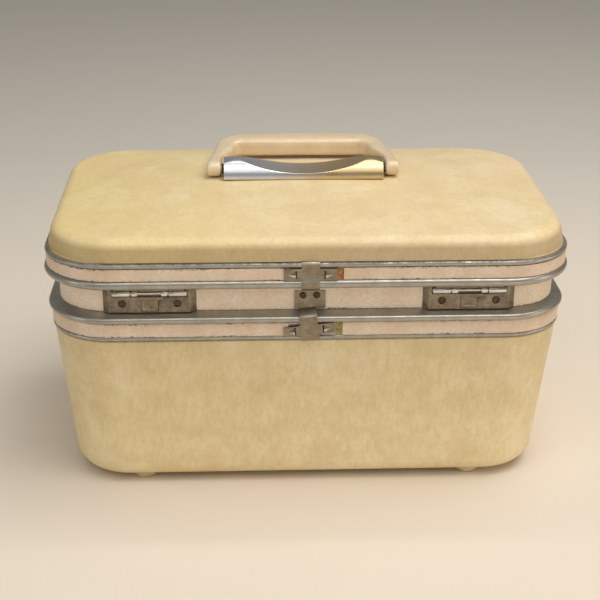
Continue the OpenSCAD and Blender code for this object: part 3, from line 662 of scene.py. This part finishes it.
def satin_paint(name, light, dark):
    """Woven lining satin: crossed threads, soft sheen and slubs."""
    paint = Paint(name, sheen_weight=0.5, sheen_roughness=0.35)
    warp = paint.noise(0.35, detail=2, rough=0.5, stretch=(1, 22, 22))
    weft = paint.noise(0.45, detail=2, rough=0.5, stretch=(22, 1, 1))
    shade = paint.noise(30, detail=4, rough=0.55)
    colour = paint.over(light, dark, shade, 0.35, 0.7)
    threads = paint.math("ADD", paint.math("MULTIPLY", warp, 0.6), paint.math("MULTIPLY", weft, 0.4))
    colour = paint.over(colour, dark, threads, 0.42, 0.6, 0.35)
    paint.set(base_color=colour, roughness=paint.spread(threads, 0.4, 0.6, 0.3, 0.46))
    paint.bump(threads, 0.05, 0.5)
    return paint


def flock_paint():
    """Flocked tray: a short velvety pile over moulded plastic."""
    paint = Paint("tray_flock", roughness=0.85, sheen_weight=0.8, sheen_roughness=0.5)
    pile = paint.noise(0.5, detail=3, rough=0.7)
    brushed = paint.noise(12, detail=5, rough=0.6)
    colour = paint.over((226, 196, 184), (204, 168, 154), brushed, 0.35, 0.65)
    colour = paint.over(colour, (178, 142, 130), pile, 0.4, 0.65, 0.4)
    paint.set(base_color=colour)
    paint.bump(pile, 0.12, 0.6)
    return paint


def mirror_paint():
    """Silvered glass with faint dust and spots where the silver has aged."""
    paint = Paint("mirror_silvering", metallic=1.0)
    dust = paint.noise(5, detail=6, rough=0.7)
    spots = paint.spread(paint.noise(7, detail=6, rough=0.8, shift=3.0), 0.68, 0.74)
    colour = paint.mix(paint.math("MULTIPLY", spots, 0.6), (226, 230, 230), (120, 112, 100))
    paint.set(base_color=colour, roughness=paint.spread(dust, 0.45, 0.75, 0.02, 0.16))
    return paint


def floor_paint():
    """Matt pale paint, slightly uneven and a little greyer in the distance."""
    paint = Paint("studio_floor", roughness=0.7)
    uneven = paint.noise(140, detail=4, rough=0.6)
    near = paint.mix(uneven, (242, 231, 216), (235, 223, 207))
    far = paint.mix(uneven, (228, 224, 214), (221, 216, 206))
    away = paint.spread(paint.axis("y"), 250, 700)
    paint.set(base_color=paint.mix(away, near, far), roughness=paint.spread(uneven, 0.3, 0.7, 0.62, 0.76))
    return paint


def build_materials():
    """Every material by name."""
    strip_edges = [STRIP_LOW.z, STRIP_HIGH.z, LID_STRIP_LOW.z, LID_STRIP_HIGH.z, BAND_LOW.z]
    made = {
        "base_shell": shell_paint(
            "shell_vinyl_base", (243, 227, 182), (238, 221, 170), (218, 192, 141),
            # painted shade, darkest towards the trim under the lid's overhang
            (FOOT_H + 30, TRIM_Z, 0.3),
        ),
        "lid_shell": shell_paint(
            "shell_vinyl_lid", (243, 222, 180), (242, 220, 150), (224, 198, 146),
            # painted shade, darkest on the lid's sides below the crown
            (CROWN_Z - 3, CROWN_Z - 7, 0.62),
        ),
        "base_trim": trim_paint(
            "trim_aluminium_base",
            [STRIP_LOW.z, STRIP_HIGH.z + 0.3, LEDGE_Z + 0.4, TRIM_Z + 0.4],
            (STRIP_LOW.z, STRIP_HIGH.z),
            [(0.32, (92, 80, 34)), (0.5, (150, 138, 74)), (0.7, (186, 178, 124))],
        ),
        "lid_trim": trim_paint(
            "trim_aluminium_lid",
            [LID_STRIP_LOW.z, LID_STRIP_HIGH.z, LID_TRIM_TOP - 0.2, LID_Z + 0.2],
            (LID_STRIP_LOW.z, LID_STRIP_HIGH.z),
            [(0.32, (96, 52, 22)), (0.5, (170, 98, 40)), (0.7, (204, 156, 92))],
        ),
        "strip": strip_paint("inlay_vinyl", strip_edges, (232, 212, 190), (214, 188, 160)),
        "neck": strip_paint("neck_vinyl", strip_edges, (250, 232, 210), (238, 214, 186)),
        "hinge": hinge_paint(),
        "hinge_worn": worn_paint("worn_nickel", (196, 186, 166), (104, 84, 64)),
        # The worn sheet serves both as wear on the covers' edges and as a painted highlight on the lances'
        # downward faces.
        "cover_wear_and_highlight": worn_paint("worn_sheet_and_highlight", (222, 218, 208), (150, 138, 118)),
        # The slits' dark material is painted shade.
        "slit": plastic_paint("slit_painted_shade", (52, 42, 32), (30, 24, 20), 0.7, 0.5),
        "bright": polished_paint("bright_steel", (222, 220, 214), (170, 164, 152)),
        "cover": brushed_paint("cover_sheet", (158, 148, 130), (106, 96, 80), 0.32, 1.2, (4, 4, 1)),
        "latch": brushed_paint("latch_nickel", (196, 192, 182), (150, 144, 132), 0.26, 0.5, (20, 20, 1)),
        "rust": rust_paint(),
        "saddle": saddle_paint(),
        "bail": bail_paint(),
        "foot": plastic_paint("foot_cream", (226, 210, 166), (196, 176, 130), 0.42),
        "washer": plastic_paint("washer_dark", (66, 60, 52), (40, 36, 32), 0.5, 0.5),
        "satin": satin_paint("lining_satin", (224, 190, 178), (192, 152, 140)),
        "ledge": satin_paint("ledge_satin", (210, 176, 162), (180, 142, 130)),
        "flock": flock_paint(),
        "mirror": mirror_paint(),
        "rim": plastic_paint("mirror_rim_cream", (236, 218, 180), (214, 192, 150), 0.35),
        "plate": brushed_paint("mill_steel", (150, 148, 142), (104, 100, 92), 0.4, 0.8, (25, 1, 1)),
        "stage": floor_paint(),
    }
    return {key: paint.material for key, paint in made.items()}


def finish_piece(obj, material, body=None, replaces=()):
    """Material and body of one piece, and hides the CAD nodes that it replaces."""
    obj.data.materials.clear()
    obj.data.materials.append(MATERIALS[material])
    if body:
        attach(obj, body)
    if replaces:
        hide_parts(*replaces)
    return obj


# ---- base pieces


def build_base_shell():
    """Tapered base shell with a rounded bottom edge and a lip that sits in the trim ring."""
    flat_inset = BOTTOM_INSET + BOTTOM_ROUND
    waist_r = CORNER - WAIST_INSET
    low_r = waist_r - 1.1
    low_z = FOOT_H + BOTTOM_ROUND
    waist_z = TRIM_Z - 0.9
    seat = WAIST_INSET + 0.9
    rim = SHELL_HIGH.z
    steps = 10

    def edge(radius):
        return bottom_edge(flat_inset, radius, low_r - BOTTOM_ROUND, 12)

    wall = []
    for k in range(1, steps + 1):
        share = k / steps
        z = low_z + (waist_z - low_z) * share
        inset = BOTTOM_INSET + (WAIST_INSET - BOTTOM_INSET) * share
        wall.append(level(inset, z, low_r + (waist_r - low_r) * share))
    lip = [ring_level(seat, TRIM_Z - 0.05), ring_level(seat, rim)]
    inside = [ring_level(seat + SHELL_T, rim), ring_level(seat + SHELL_T, waist_z)]
    inside.append(ring_level(WAIST_INSET + SHELL_T + 0.2, waist_z - 2))
    levels = edge(BOTTOM_ROUND) + wall + lip + inside + edge(BOTTOM_ROUND - SHELL_T)[::-1]
    shell = loft("base_shell_vinyl", levels)
    return finish_piece(shell, "base_shell", "base", ["body_shell"])


def build_base_trim():
    """Base trim ring: thin bead, strip channel, outer bead, ledge, neck and tongue."""
    profile = [(5.4, TRIM_Z)]
    profile += arc(5, TRIM_Z + 1.5, 1.5, 270, 118, 12)
    profile += arc(3.75, OUTER_BEAD_Z, 2.25, 284, 110, 18)
    profile += arc(8.9, LEDGE_Z + 1.0, 1.0, 290, 360, 5)
    profile += [(9.9, NECK_TOP), (10.6, NECK_TOP)]
    profile += arc(11.3, TONGUE_TOP - 0.7, 0.7, 180, 0, 8)
    profile += [(12, NECK_TOP - 1.4), (11.3, NECK_TOP - 2.1), (11.3, LEDGE_Z - 0.8), (9.8, LEDGE_Z - 2.3)]
    profile += [(9.8, TRIM_Z + 7.1), (8.3, TRIM_Z + 7.1)]
    profile += [(8.3, OUTER_BEAD_Z + 0.75), (5.4, OUTER_BEAD_Z + 0.75)]
    ring = trim_ring("base_trim_ring", profile, 0.12)
    return finish_piece(ring, "base_trim", "base", ["body_frame"])


def build_strips():
    """Vinyl strips in both rings, stopped short beside the joint covers, and the neck's band."""
    back = -HALF_D
    base = trim_ring("base_strip", rounded_strip(3.55, STRIP_LOW.z, STRIP_HIGH.z))
    cut_away(base, (COVER_LEFT, back - 1, TRIM_Z), (BARE_RIGHT, back + 6, OUTER_BEAD_Z))
    finish_piece(base, "strip", "base", ["body_inlay"])
    lid = trim_ring("lid_strip", rounded_strip(1.45, LID_STRIP_LOW.z, LID_STRIP_HIGH.z))
    low = (COVER_LEFT, back - 1, LID_STRIP_LOW.z - 1)
    cut_away(lid, low, (BARE_RIGHT, back + 4, LID_STRIP_HIGH.z + 1))
    finish_piece(lid, "strip", "lid", ["lid_inlay"])
    band = trim_ring("neck_vinyl", rounded_strip(HALF_D - BAND_HIGH.y, BAND_LOW.z, BAND_HIGH.z, 0.65, 0.2))
    finish_piece(band, "neck", "base", ["neck_band"])


def build_feet():
    """Four moulded feet with rounded rims."""
    radius = 8
    place = (FOOT_HIGH.x - radius, FOOT_HIGH.y - radius)
    fillet = 2.4
    rim = [
        (radius - fillet + fillet * math.cos(t), fillet + fillet * math.sin(t))
        for t in np.radians(np.linspace(-90, 0, 9))
    ]
    profile = [(0.4, 0.15), (3.2, 0.0)] + rim + [(radius, FOOT_H + 0.4)]
    parts = [
        lathe("foot", profile, (sx * place[0], sy * place[1], 0)) for sx in (-1, 1) for sy in (-1, 1)
    ]
    return finish_piece(join("moulded_feet", parts), "foot", "base", ["feet"])


# ---- lid pieces


def build_lid_shell():
    """Lid shell: a rolled crease round a shallow crown."""
    seat = 3.8
    lip = 2.8
    top_inset = CREASE_INSET - CREASE_R * math.cos(math.radians(82))
    turns = np.radians(np.linspace(11, 82, 15))
    scales = [0.985, 0.97, 0.94, 0.9, 0.84, 0.78, 0.7, 0.6, 0.5, 0.4, 0.3, 0.2, 0.1, 0.04]

    def crease(radius):
        return [
            lid_level(CREASE_INSET - radius * math.cos(t), CREASE_Z + radius * math.sin(t)) for t in turns
        ]

    def crown(z):
        return [crown_level(scale, top_inset, z, CROWN_H) for scale in scales]

    outer = [ring_level(seat, LID_Z + 1.6), ring_level(seat, LID_TRIM_TOP + 0.05)]
    outer += [lid_level(lip, LID_TRIM_TOP + 0.5)] + crease(CREASE_R) + crown(CROWN_Z - 0.1)
    inner = [ring_level(seat + SHELL_T, LID_Z + 1.6), ring_level(seat + SHELL_T, LID_TRIM_TOP)]
    inner += crease(CREASE_R - SHELL_T) + crown(CROWN_Z - SHELL_T - 0.1)
    outside = loft("lid_outside", outer, (False, True))
    inside = loft("lid_inside", [one[::-1] for one in inner], (False, True))
    size = len(outer[0])
    rim_points = np.concatenate([outer[0], inner[0]])
    edge_faces = [(c, size + c, size + (c + 1) % size, (c + 1) % size) for c in range(size)]
    shell = join("lid_shell_vinyl", [outside, inside, make_mesh("lid_rim", rim_points, edge_faces)])
    outward(shell)
    return finish_piece(shell, "lid_shell", "lid", ["lid_shell"])


def build_lid_trim():
    """Lid trim ring: a large lower bead, a strip channel and a small upper bead."""
    profile = arc(2.95, LID_Z + 2.95, 2.95, 270, 105, 20)
    profile += arc(2.65, LID_TRIM_TOP - 1.65, 1.65, 254, 90, 12)
    profile += [(3.7, LID_TRIM_TOP), (3.7, LID_Z + 1.4), (6.6, LID_Z + 1.4), (6.6, LID_Z + 13.2)]
    profile += [(7.7, LID_Z + 13.2), (7.7, LID_Z + 1.3), (10.2, LID_Z + 1.3), (10.2, LID_Z)]
    ring = trim_ring("lid_trim_ring", profile, 0.12)
    return finish_piece(ring, "lid_trim", "lid", ["lid_frame"])


# ---- handle


def build_saddle():
    """Chrome saddle: a half-round bar, scooped along its top between two peaks."""
    scoop_r = 123
    floor = SADDLE_Z + 4
    ridge = SADDLE_Z + SADDLE_H
    end_run = 10
    end_drop = 2.7
    stations = np.concatenate(
        [[-SADDLE_HALF], np.linspace(-SADDLE_HALF + 0.25, SADDLE_HALF - 0.25, 113), [SADDLE_HALF]]
    )

    def cut_height(x):
        scoop = floor + scoop_r - math.sqrt(scoop_r**2 - x * x)
        slope = ridge + 0.5 - (abs(x) - (SADDLE_HALF - end_run)) * end_drop / end_run
        return min(scoop, slope, ridge - 0.05)

    rows = []
    skirt = 18
    across = 14
    round_r = 0.35
    for x in stations:
        top = cut_height(x)
        tucked = 0.25 if abs(x) == SADDLE_HALF else 0.0
        limit = math.asin(min(1.0, (top - SADDLE_Z) / SADDLE_H))
        half_w = SADDLE_HALF_W - tucked
        height = SADDLE_H - tucked
        turns = np.linspace(0, limit, skirt)
        side = [(half_w * math.cos(t), SADDLE_Z + height * math.sin(t)) for t in turns]
        y_top, z_top = side[-1]
        side[-1] = (y_top - 0.12, z_top - 0.1)
        y_in = max(y_top - round_r, 0.05)
        flat = [(y_in * (1 - 2 * k / across), top - tucked - 0.02) for k in range(across + 1)]
        section = side + flat + [(-y, z) for y, z in side[::-1]]
        rows.append(np.array([(x, SADDLE_Y + y, z) for y, z in section]))
    saddle = loft("saddle_bar", rows, sharp_deg=32)
    outward(saddle, 32)
    return finish_piece(saddle, "saddle", "lid", ["handle_saddle"])


def bail_section(inner, outer, low, high, sides=44):
    """A square section with rounded corners, from its inner point to its outer point in plan."""
    inner, outer = np.array(inner), np.array(outer)
    points = []
    for k in range(sides):
        t = -2 * math.pi * (k + 0.5) / sides
        cos, sin = math.cos(t), math.sin(t)
        across = math.copysign(abs(cos) ** 0.5, cos)
        z = math.copysign(abs(sin) ** 0.5, sin) * (high if sin > 0 else low)
        x, y = (inner + outer) / 2 + (outer - inner) / 2 * across
        points.append((x, y, PIVOT_Z + z))
    return np.array(points)


def build_bail():
    """Moulded bail: two arms that turn on the saddle's pins and swell into a broad grip."""
    end_r = 5.2
    arm_w = 9.8
    arm_gap = 1.7
    grip_w = 23.2
    inner_r = 6.5
    outer_r = 22.5
    bow = 1.7
    arm_rise = 0.8
    grip_low = end_r + 0.5
    grip_high = end_r + 2.4
    x0 = SADDLE_HALF + arm_gap
    x1 = x0 + arm_w
    y1 = BAIL_HIGH.y
    y0 = y1 - grip_w
    inner_turn = np.array([x0 - 15, y0 - inner_r])
    outer_turn = np.array([x1 - 28.4, y1 - 26.2])
    straight_y = PIVOT_Y + 10.5

    def ease(t):
        t = min(1, max(0, t))
        return t * t * (3 - 2 * t)

    half = []
    for t in np.radians([86, 80, 70, 60, 50, 40, 30, 20, 10]):
        height = end_r * math.cos(t)
        width = arm_w / 2 * (1 - 0.18 * (1 - math.cos(t)))
        y = PIVOT_Y - end_r * math.sin(t)
        middle = (x0 + x1) / 2
        half.append(bail_section((middle - width, y), (middle + width, y), height, height))
    for u in np.linspace(0, 1, 22)[:-1]:
        y = PIVOT_Y + (inner_turn[1] - PIVOT_Y) * u
        drawn = ease((y - straight_y) / (inner_turn[1] - straight_y))
        inner = (x0 + (inner_turn[0] + inner_r - x0) * drawn, y)
        outer = (
            x1 + (outer_turn[0] + outer_r - x1) * u,
            PIVOT_Y + (outer_turn[1] - PIVOT_Y) * u,
        )
        half.append(bail_section(inner, outer, end_r, end_r + arm_rise * u))
    for t in np.radians(np.linspace(0, 90, 31)):
        turn = np.array([math.cos(t), math.sin(t)])
        e = ease(t / (math.pi / 2))
        outer = outer_turn + turn * [outer_r, y1 - bow - outer_turn[1]]
        half.append(
            bail_section(
                inner_turn + inner_r * turn,
                outer,
                end_r + (grip_low - end_r) * e,
                end_r + arm_rise + (grip_high - end_r - arm_rise) * e,
            )
        )
    for u in np.linspace(1, 0, 15)[1:-1]:
        outer = (outer_turn[0] * u, y1 - bow * u * u)
        half.append(bail_section((inner_turn[0] * u, y0), outer, grip_low, grip_high))
    middle = [bail_section((0, y0), (0, y1), grip_low, grip_high)]
    other = [one * np.array([-1, 1, 1]) for one in half[::-1]]
    bail = loft("bail_grip", half + middle + other, sharp_deg=60)
    outward(bail, 60)
    return finish_piece(bail, "bail", "bail", ["handle_bail"])


# ---- hardware

# Each fitting's material, edge radius and slot. A star stands for the left and the right one.
FITTINGS = {
    "hinge_plate_*": ("hinge", 0.25, "hinge_steel"),
    "hinge_stop_*": ("hinge", 0.2, "hinge_steel"),
    "hinge_pin_*": ("bright", 0.15, "pin_steel"),
    "hinge_rivets": ("rust", 0.1, "rusty_steel"),
    "joint_cover_lower": ("cover", 0.2, "cover_aluminium"),
    "joint_cover_upper": ("cover", 0.2, "cover_aluminium"),
    "joint_cover_rivets": ("rust", 0.1, "rusty_steel"),
    "hinge_leaf_*": ("hinge", 0.15, "hinge_steel"),
    "latch_base_*": ("latch", 0.25, "latch_steel"),
    "latch_spring_*": ("bright", 0.01, "pin_steel"),
    "latch_rivets": ("rust", 0.1, "rusty_steel"),
    "hasp_bracket_*": ("latch", 0.15, "latch_steel"),
    "hasp_pin_*": ("bright", 0.12, "pin_steel"),
    "hasp_*": ("latch", 0.3, "latch_chrome"),
    "latch_slide_*": ("bright", 0.15, "latch_chrome"),
    "lock_plug_*": ("bright", 0.15, "latch_chrome"),
    "handle_plate": ("plate", 0.2, "plate_steel"),
    "handle_screws": ("bright", 0.15, "pin_steel"),
    "handle_pins": ("bright", 0.2, "pin_steel"),
    "handle_washers": ("washer", 0.1, "pin_steel"),
    "mirror_frame": ("rim", 0.8, "mirror_rim"),
    "mirror_glass": ("mirror", 0.3, "mirror_silver"),
    "tray_ledges": ("ledge", 0.6, "tray_card"),
    "tray": ("flock", 0.5, "tray_plastic"),
    "tray_dividers": ("flock", 0.7, "tray_plastic"),
}

WORN = {"hinge": "hinge_worn", "cover": "cover_wear_and_highlight"}

# Pressed triangles of the joint covers: distance from the cover's middle, half height, length, rise.
LANCE_START = 9.5
LANCE_HALF = 2.5
LANCE_LENGTH = 5
LANCE_RISE = 0.95


def paint_parts(obj, keys, choose=None):
    """Gives a refined piece several materials; choose may move a face to another one by its middle."""
    kept = [face.material_index for face in obj.data.polygons]
    obj.data.materials.clear()
    for key in keys:
        obj.data.materials.append(MATERIALS[key])
    for face, index in zip(obj.data.polygons, kept):
        picked = choose(face.center / MM) if choose else None
        face.material_index = index if picked is None else picked


def knuckle_faces(side):
    """Picks the faces that wrap the hinge's pin, which handling keeps bright."""
    low, high = box_mm(f"hinge_pin_{side}")
    y, z = (low.y + high.y) / 2, (low.z + high.z) / 2
    return lambda p: 2 if math.hypot(p.y - y, p.z - z) < 2.5 else None


def lances(centre_x, face_y, z, tilt_deg):
    """Two pressed half-pyramids beside a cover's middle, each with a painted highlight on its downward faces
    and a dark bar of painted shade for the slit on its inner side.
    """
    turn = math.radians(tilt_deg)

    def placed(along, up, out):
        """A point of the tilted face, from its middle along, up and out."""
        x = centre_x + along * math.cos(turn) + up * math.sin(turn)
        return (x, face_y - out, z - along * math.sin(turn) + up * math.cos(turn))

    def painted(name, points, faces, pick):
        """A closed piece whose faces are given one of the cover's materials by their normal."""
        made = outward(make_mesh(name, points, faces, 10), 10)
        for key in ("cover", "cover_wear_and_highlight", "slit"):
            made.data.materials.append(MATERIALS[key])
        for face in made.data.polygons:
            face.material_index = pick(face.normal)
        return made

    parts = []
    sides = [(0, 2, 4, 6), (1, 7, 5, 3), (0, 1, 3, 2), (2, 3, 5, 4), (4, 5, 7, 6), (6, 7, 1, 0)]
    for side in (-1, 1):
        root = side * LANCE_START
        tip = placed(root + side * LANCE_LENGTH, 0, -0.05)
        foot = [placed(root, up, -0.05) for up in (-LANCE_HALF, LANCE_HALF)]
        points = foot + [tip, placed(root, 0, LANCE_RISE)]

        # Painted highlight: faces turned down or towards the slit get the brighter worn sheet.
        def lit(normal):
            return 1 if normal.z < -0.1 or normal.x * side < -0.9 else 0

        parts.append(painted("lance", points, [(0, 3, 2), (3, 1, 2), (0, 1, 3), (0, 2, 1)], lit))
        # Painted shade: a dark bar in the slit stands for the shadow inside the opening.
        bar = [
            placed(root + side * along, up, out)
            for along, up in [(-0.9, -2.6), (0.2, -2.6), (0.2, 2.6), (-0.9, 2.6)]
            for out in (0.12, -0.1)
        ]
        parts.append(painted("slit", bar, sides, lambda normal: 2))
    return parts


def press_lances(obj, inset, centre_x, z, tilt_deg):
    """Replaces a cover's plain raised triangles by pressed lances, with dark bars of painted shade for their
    slits.
    """
    face_y = -HALF_D + inset
    for vertex in obj.data.vertices:
        p = vertex.co / MM
        beside = 8 < abs(p.x - centre_x) < 14.5 and abs(p.z - z) < 4
        if beside and p.y < face_y - 0.05:
            vertex.co.y = (face_y + 0.02) * MM
    return join(f"{obj.name}_pressed", [obj] + lances(centre_x, face_y, z, tilt_deg), 28)


def build_hardware():
    """Metal fittings and moulded inner parts, with the CAD shapes and softened edges."""
    pressing = {
        "joint_cover_upper": (0.7, 0, LID_STRIP_LOW.z + 3.8, 0),
        "joint_cover_lower": (2.2, -0.5, TRIM_Z + 7.4, -6),
    }
    for pattern, (material, edge, slot) in FITTINGS.items():
        for side in ("left", "right") if "*" in pattern else ("",):
            node = pattern.replace("*", side)
            piece = refined(node, edge)
            keys = [material, WORN.get(material, material)]
            if node.startswith(("hinge_plate", "hinge_leaf")):
                paint_parts(piece, keys + ["bright"], knuckle_faces(side))
            elif node in pressing:
                paint_parts(piece, keys + ["slit"])
                piece = press_lances(piece, *pressing[node])
                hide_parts(node)
                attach(piece, frame["nodes"][node]["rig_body"])
            else:
                paint_parts(piece, keys)


# ---- linings


def build_base_lining():
    """Satin lining of the base: card-backed walls with soft upright folds, gathered at the corners."""
    flat_inset = BOTTOM_INSET + BOTTOM_ROUND + 0.4
    round_r = BOTTOM_ROUND - SHELL_T - 0.4
    low_r = CORNER - WAIST_INSET - 4
    steps = 14
    rise = [(8.4, TRIM_Z - 2.9), (10.3, TRIM_Z + 5.6), (10.5, LEDGE_Z - 3.6)]
    rise += [(12.3, LEDGE_Z + 0.8), (12.3, LINING_HIGH.z)]

    def edge(radius):
        return bottom_edge(flat_inset, radius, low_r - round_r, 8)

    def wall(depth):
        first = edge(round_r - depth)[-1]
        upper = [ring_level(inset + depth, z) for inset, z in rise]
        return [first + (upper[0] - first) * k / steps for k in range(1, steps)] + upper

    outer = edge(round_r) + wall(0)
    inner = edge(round_r - LINING_T) + wall(LINING_T)
    for number, one in enumerate(inner):
        strength = min(1, number / 9) * 0.75
        for k, (x, y, z) in enumerate(one):
            fold = noise.noise(Vector((x / 13, y / 13, z / 90)))
            gather = noise.noise(Vector((x / 4, y / 4, z / 60 + 5)))
            corner = min(1, max(0, abs(x) - HALF_W + 60) / 45)
            corner *= min(1, max(0, abs(y) - HALF_D + 60) / 45)
            pull = strength * (0.7 * abs(fold) + 0.5 * corner * abs(gather)) / math.hypot(x, y)
            one[k] = (x - x * pull, y - y * pull, z)
    lining = loft("base_lining_satin", outer + inner[::-1])
    outward(lining)
    return finish_piece(lining, "satin", "base", ["body_lining"])


def puff_ceiling(rings, every, cap):
    """Blows a ring-shaped sheet of cloth downwards between its seams, and returns its rings.

    It is sewn along its first and last ring, along the middle one, and at every few columns.
    """
    size = len(rings[0])
    middle = len(rings) // 2
    frames = 20
    points = np.concatenate(rings)

    def is_sewn(index):
        ring, column = divmod(index, size)
        return ring in (0, middle, len(rings) - 1) or column % every == 0

    sheet = make_mesh("ceiling_cloth", points, grid_faces(len(rings), size))
    if sheet.data.polygons[0].normal.z > 0:
        sheet.data.flip_normals()
    held = [v.index for v in sheet.data.vertices if is_sewn(v.index)]
    sheet.vertex_groups.new(name="sewn").add(held, 1.0, "REPLACE")
    cloth = sheet.modifiers.new("cloth", "CLOTH")
    settings = cloth.settings
    settings.vertex_group_mass = "sewn"
    settings.mass = 0.004
    settings.use_pressure = True
    settings.uniform_pressure_force = 2400
    settings.effector_weights.gravity = 0
    settings.quality = 3
    settings.tension_stiffness = 5
    settings.compression_stiffness = 5
    settings.bending_stiffness = 0.05
    cloth.point_cache.frame_start = 1
    cloth.point_cache.frame_end = frames
    for number in range(1, frames + 1):
        bpy.context.scene.frame_set(number)
    bake_modifiers(sheet)
    bpy.context.scene.frame_set(1)
    blown = np.array([vertex.co / MM for vertex in sheet.data.vertices])
    bpy.data.objects.remove(sheet)
    moved = blown - points
    length = np.linalg.norm(moved, axis=1)
    moved *= np.minimum(1, cap / np.maximum(length, 1e-9))[:, None]
    return list((points + moved).reshape(len(rings), size, 3))


def build_lid_lining():
    """Padded satin lining of the lid: cloth blown up between seams round the mirror.

    Its walls are thinner than a remesh could keep, so it is lofted and the seams follow the grid.
    """
    rim_z = LID_Z + 6.7
    fill_z = CROWN_Z - 9.1
    ceiling_z = MIRROR_HIGH.z + 0.1
    ceiling_inset = 15
    wall_r = 5.4
    wall_inset = ceiling_inset - wall_r
    back_inset = 14
    back_r = 6
    dome = 5.5
    cap = 1.5
    every = 6
    turns = np.radians(np.linspace(0, 90, 9))

    def ceiling(scales):
        return [crown_level(scale, ceiling_inset, ceiling_z) for scale in scales]

    core = ceiling((0.05, 0.2, 0.4, 0.6))
    padding = puff_ceiling(ceiling(np.linspace(0.76, 0.99, 17)), every, cap)
    wall = [
        lid_level(ceiling_inset - wall_r * math.cos(t), ceiling_z - wall_r * (1 - math.sin(t)))
        for t in turns[::-1]
    ]
    low = wall[-1][0][2]
    wall += [lid_level(wall_inset, low + (rim_z - low) * k / 5) for k in range(1, 6)]
    outer = [lid_level(back_inset - back_r, rim_z)]
    outer += [lid_level(back_inset - back_r * math.cos(t), fill_z + back_r * math.sin(t)) for t in turns]
    outer += [crown_level(scale, back_inset, fill_z + back_r, dome) for scale in (0.9, 0.7, 0.45, 0.2, 0.05)]
    pad = loft("lid_pad_satin", core + padding + wall + outer, sharp_deg=60)
    outward(pad, 60)
    divide = pad.modifiers.new("divide", "SUBSURF")
    divide.levels = 1
    divide.render_levels = 1
    bake_modifiers(pad, 60)
    return finish_piece(pad, "satin", "lid", ["lid_lining"])


# ---- studio


def build_stage():
    """Plain pale floor. It has no backdrop, so that the case can be seen from every side."""
    half = 2500
    corners = [(-half, -half, 0), (half, -half, 0), (half, half, 0), (-half, half, 0)]
    floor = make_mesh("floor", corners, [(0, 1, 2, 3)])
    floor.data.materials.append(MATERIALS["stage"])


def add_softbox(name, place, target, size, power, colour):
    light = bpy.data.lights.new(name, "AREA")
    light.shape = "RECTANGLE"
    light.size, light.size_y = size
    light.energy = power
    light.color = colour
    obj = bpy.data.objects.new(name, light)
    obj.location = place
    direction = Vector(target) - Vector(place)
    obj.rotation_euler = direction.to_track_quat("-Z", "Y").to_euler()
    bpy.context.scene.collection.objects.link(obj)


def build_lights():
    """A large softbox overhead and to the right, weaker cards around, and an even surround."""
    middle = (0, 0, 0.1)
    add_softbox("key", (0.5, -0.18, 1.5), middle, (1.4, 1.0), 13.0, (1.0, 0.96, 0.89))
    add_softbox("card_right", (1.5, -0.6, 0.45), middle, (0.7, 0.5), 3.6, (1.0, 0.9, 0.74))
    add_softbox("card_left", (-1.3, -0.7, 0.5), middle, (0.6, 0.5), 1.8, (0.86, 0.93, 1.0))
    add_softbox("card_low", (0.25, -0.95, 0.12), (0.02, -0.1, 0.07), (1.3, 0.24), 0.8, (1.0, 0.95, 0.86))
    add_softbox("panel_front", (-0.25, -0.95, 1.15), middle, (1.5, 0.45), 2.6, (0.98, 0.98, 1.0))
    add_softbox("line_front", (0.1, -0.55, 1.35), middle, (1.5, 0.08), 1.7, (1.0, 0.99, 0.95))
    add_softbox("line_back", (0.0, 0.3, 1.25), middle, (1.2, 0.06), 1.4, (1.0, 1.0, 1.0))
    world = bpy.data.worlds.new("surround")
    world.use_nodes = True
    background = world.node_tree.nodes["Background"]
    background.inputs["Color"].default_value = (1.0, 0.96, 0.9, 1)
    background.inputs["Strength"].default_value = 0.26
    bpy.context.scene.world = world


def build_camera():
    """Camera at the photograph's angle, behind and above the case."""
    turn = Matrix.Rotation(math.radians(-2.7), 4, "Z")
    rise = Matrix.Rotation(math.radians(90 - 22.7), 4, "X")
    roll = Matrix.Rotation(math.radians(0.4), 4, "Z")
    target = Matrix.Translation((-0.0017, 0, 0.0953))
    distance = Matrix.Translation((0, 0, 0.9726))
    camera = bpy.data.cameras.new("camera")
    camera.lens = 81.05
    camera.sensor_width = 36
    camera.clip_start = 0.01
    obj = bpy.data.objects.new("camera", camera)
    obj.matrix_world = target @ turn @ rise @ distance @ roll
    bpy.context.scene.collection.objects.link(obj)
    bpy.context.scene.camera = obj


# ---- build

build_camera()
bpy.context.scene.view_settings.view_transform = "Standard"
MATERIALS = build_materials()
build_lid_lining()
build_stage()
build_lights()
build_base_shell()
build_base_trim()
build_strips()
build_feet()
build_lid_shell()
build_lid_trim()
build_saddle()
build_bail()
build_hardware()
build_base_lining()
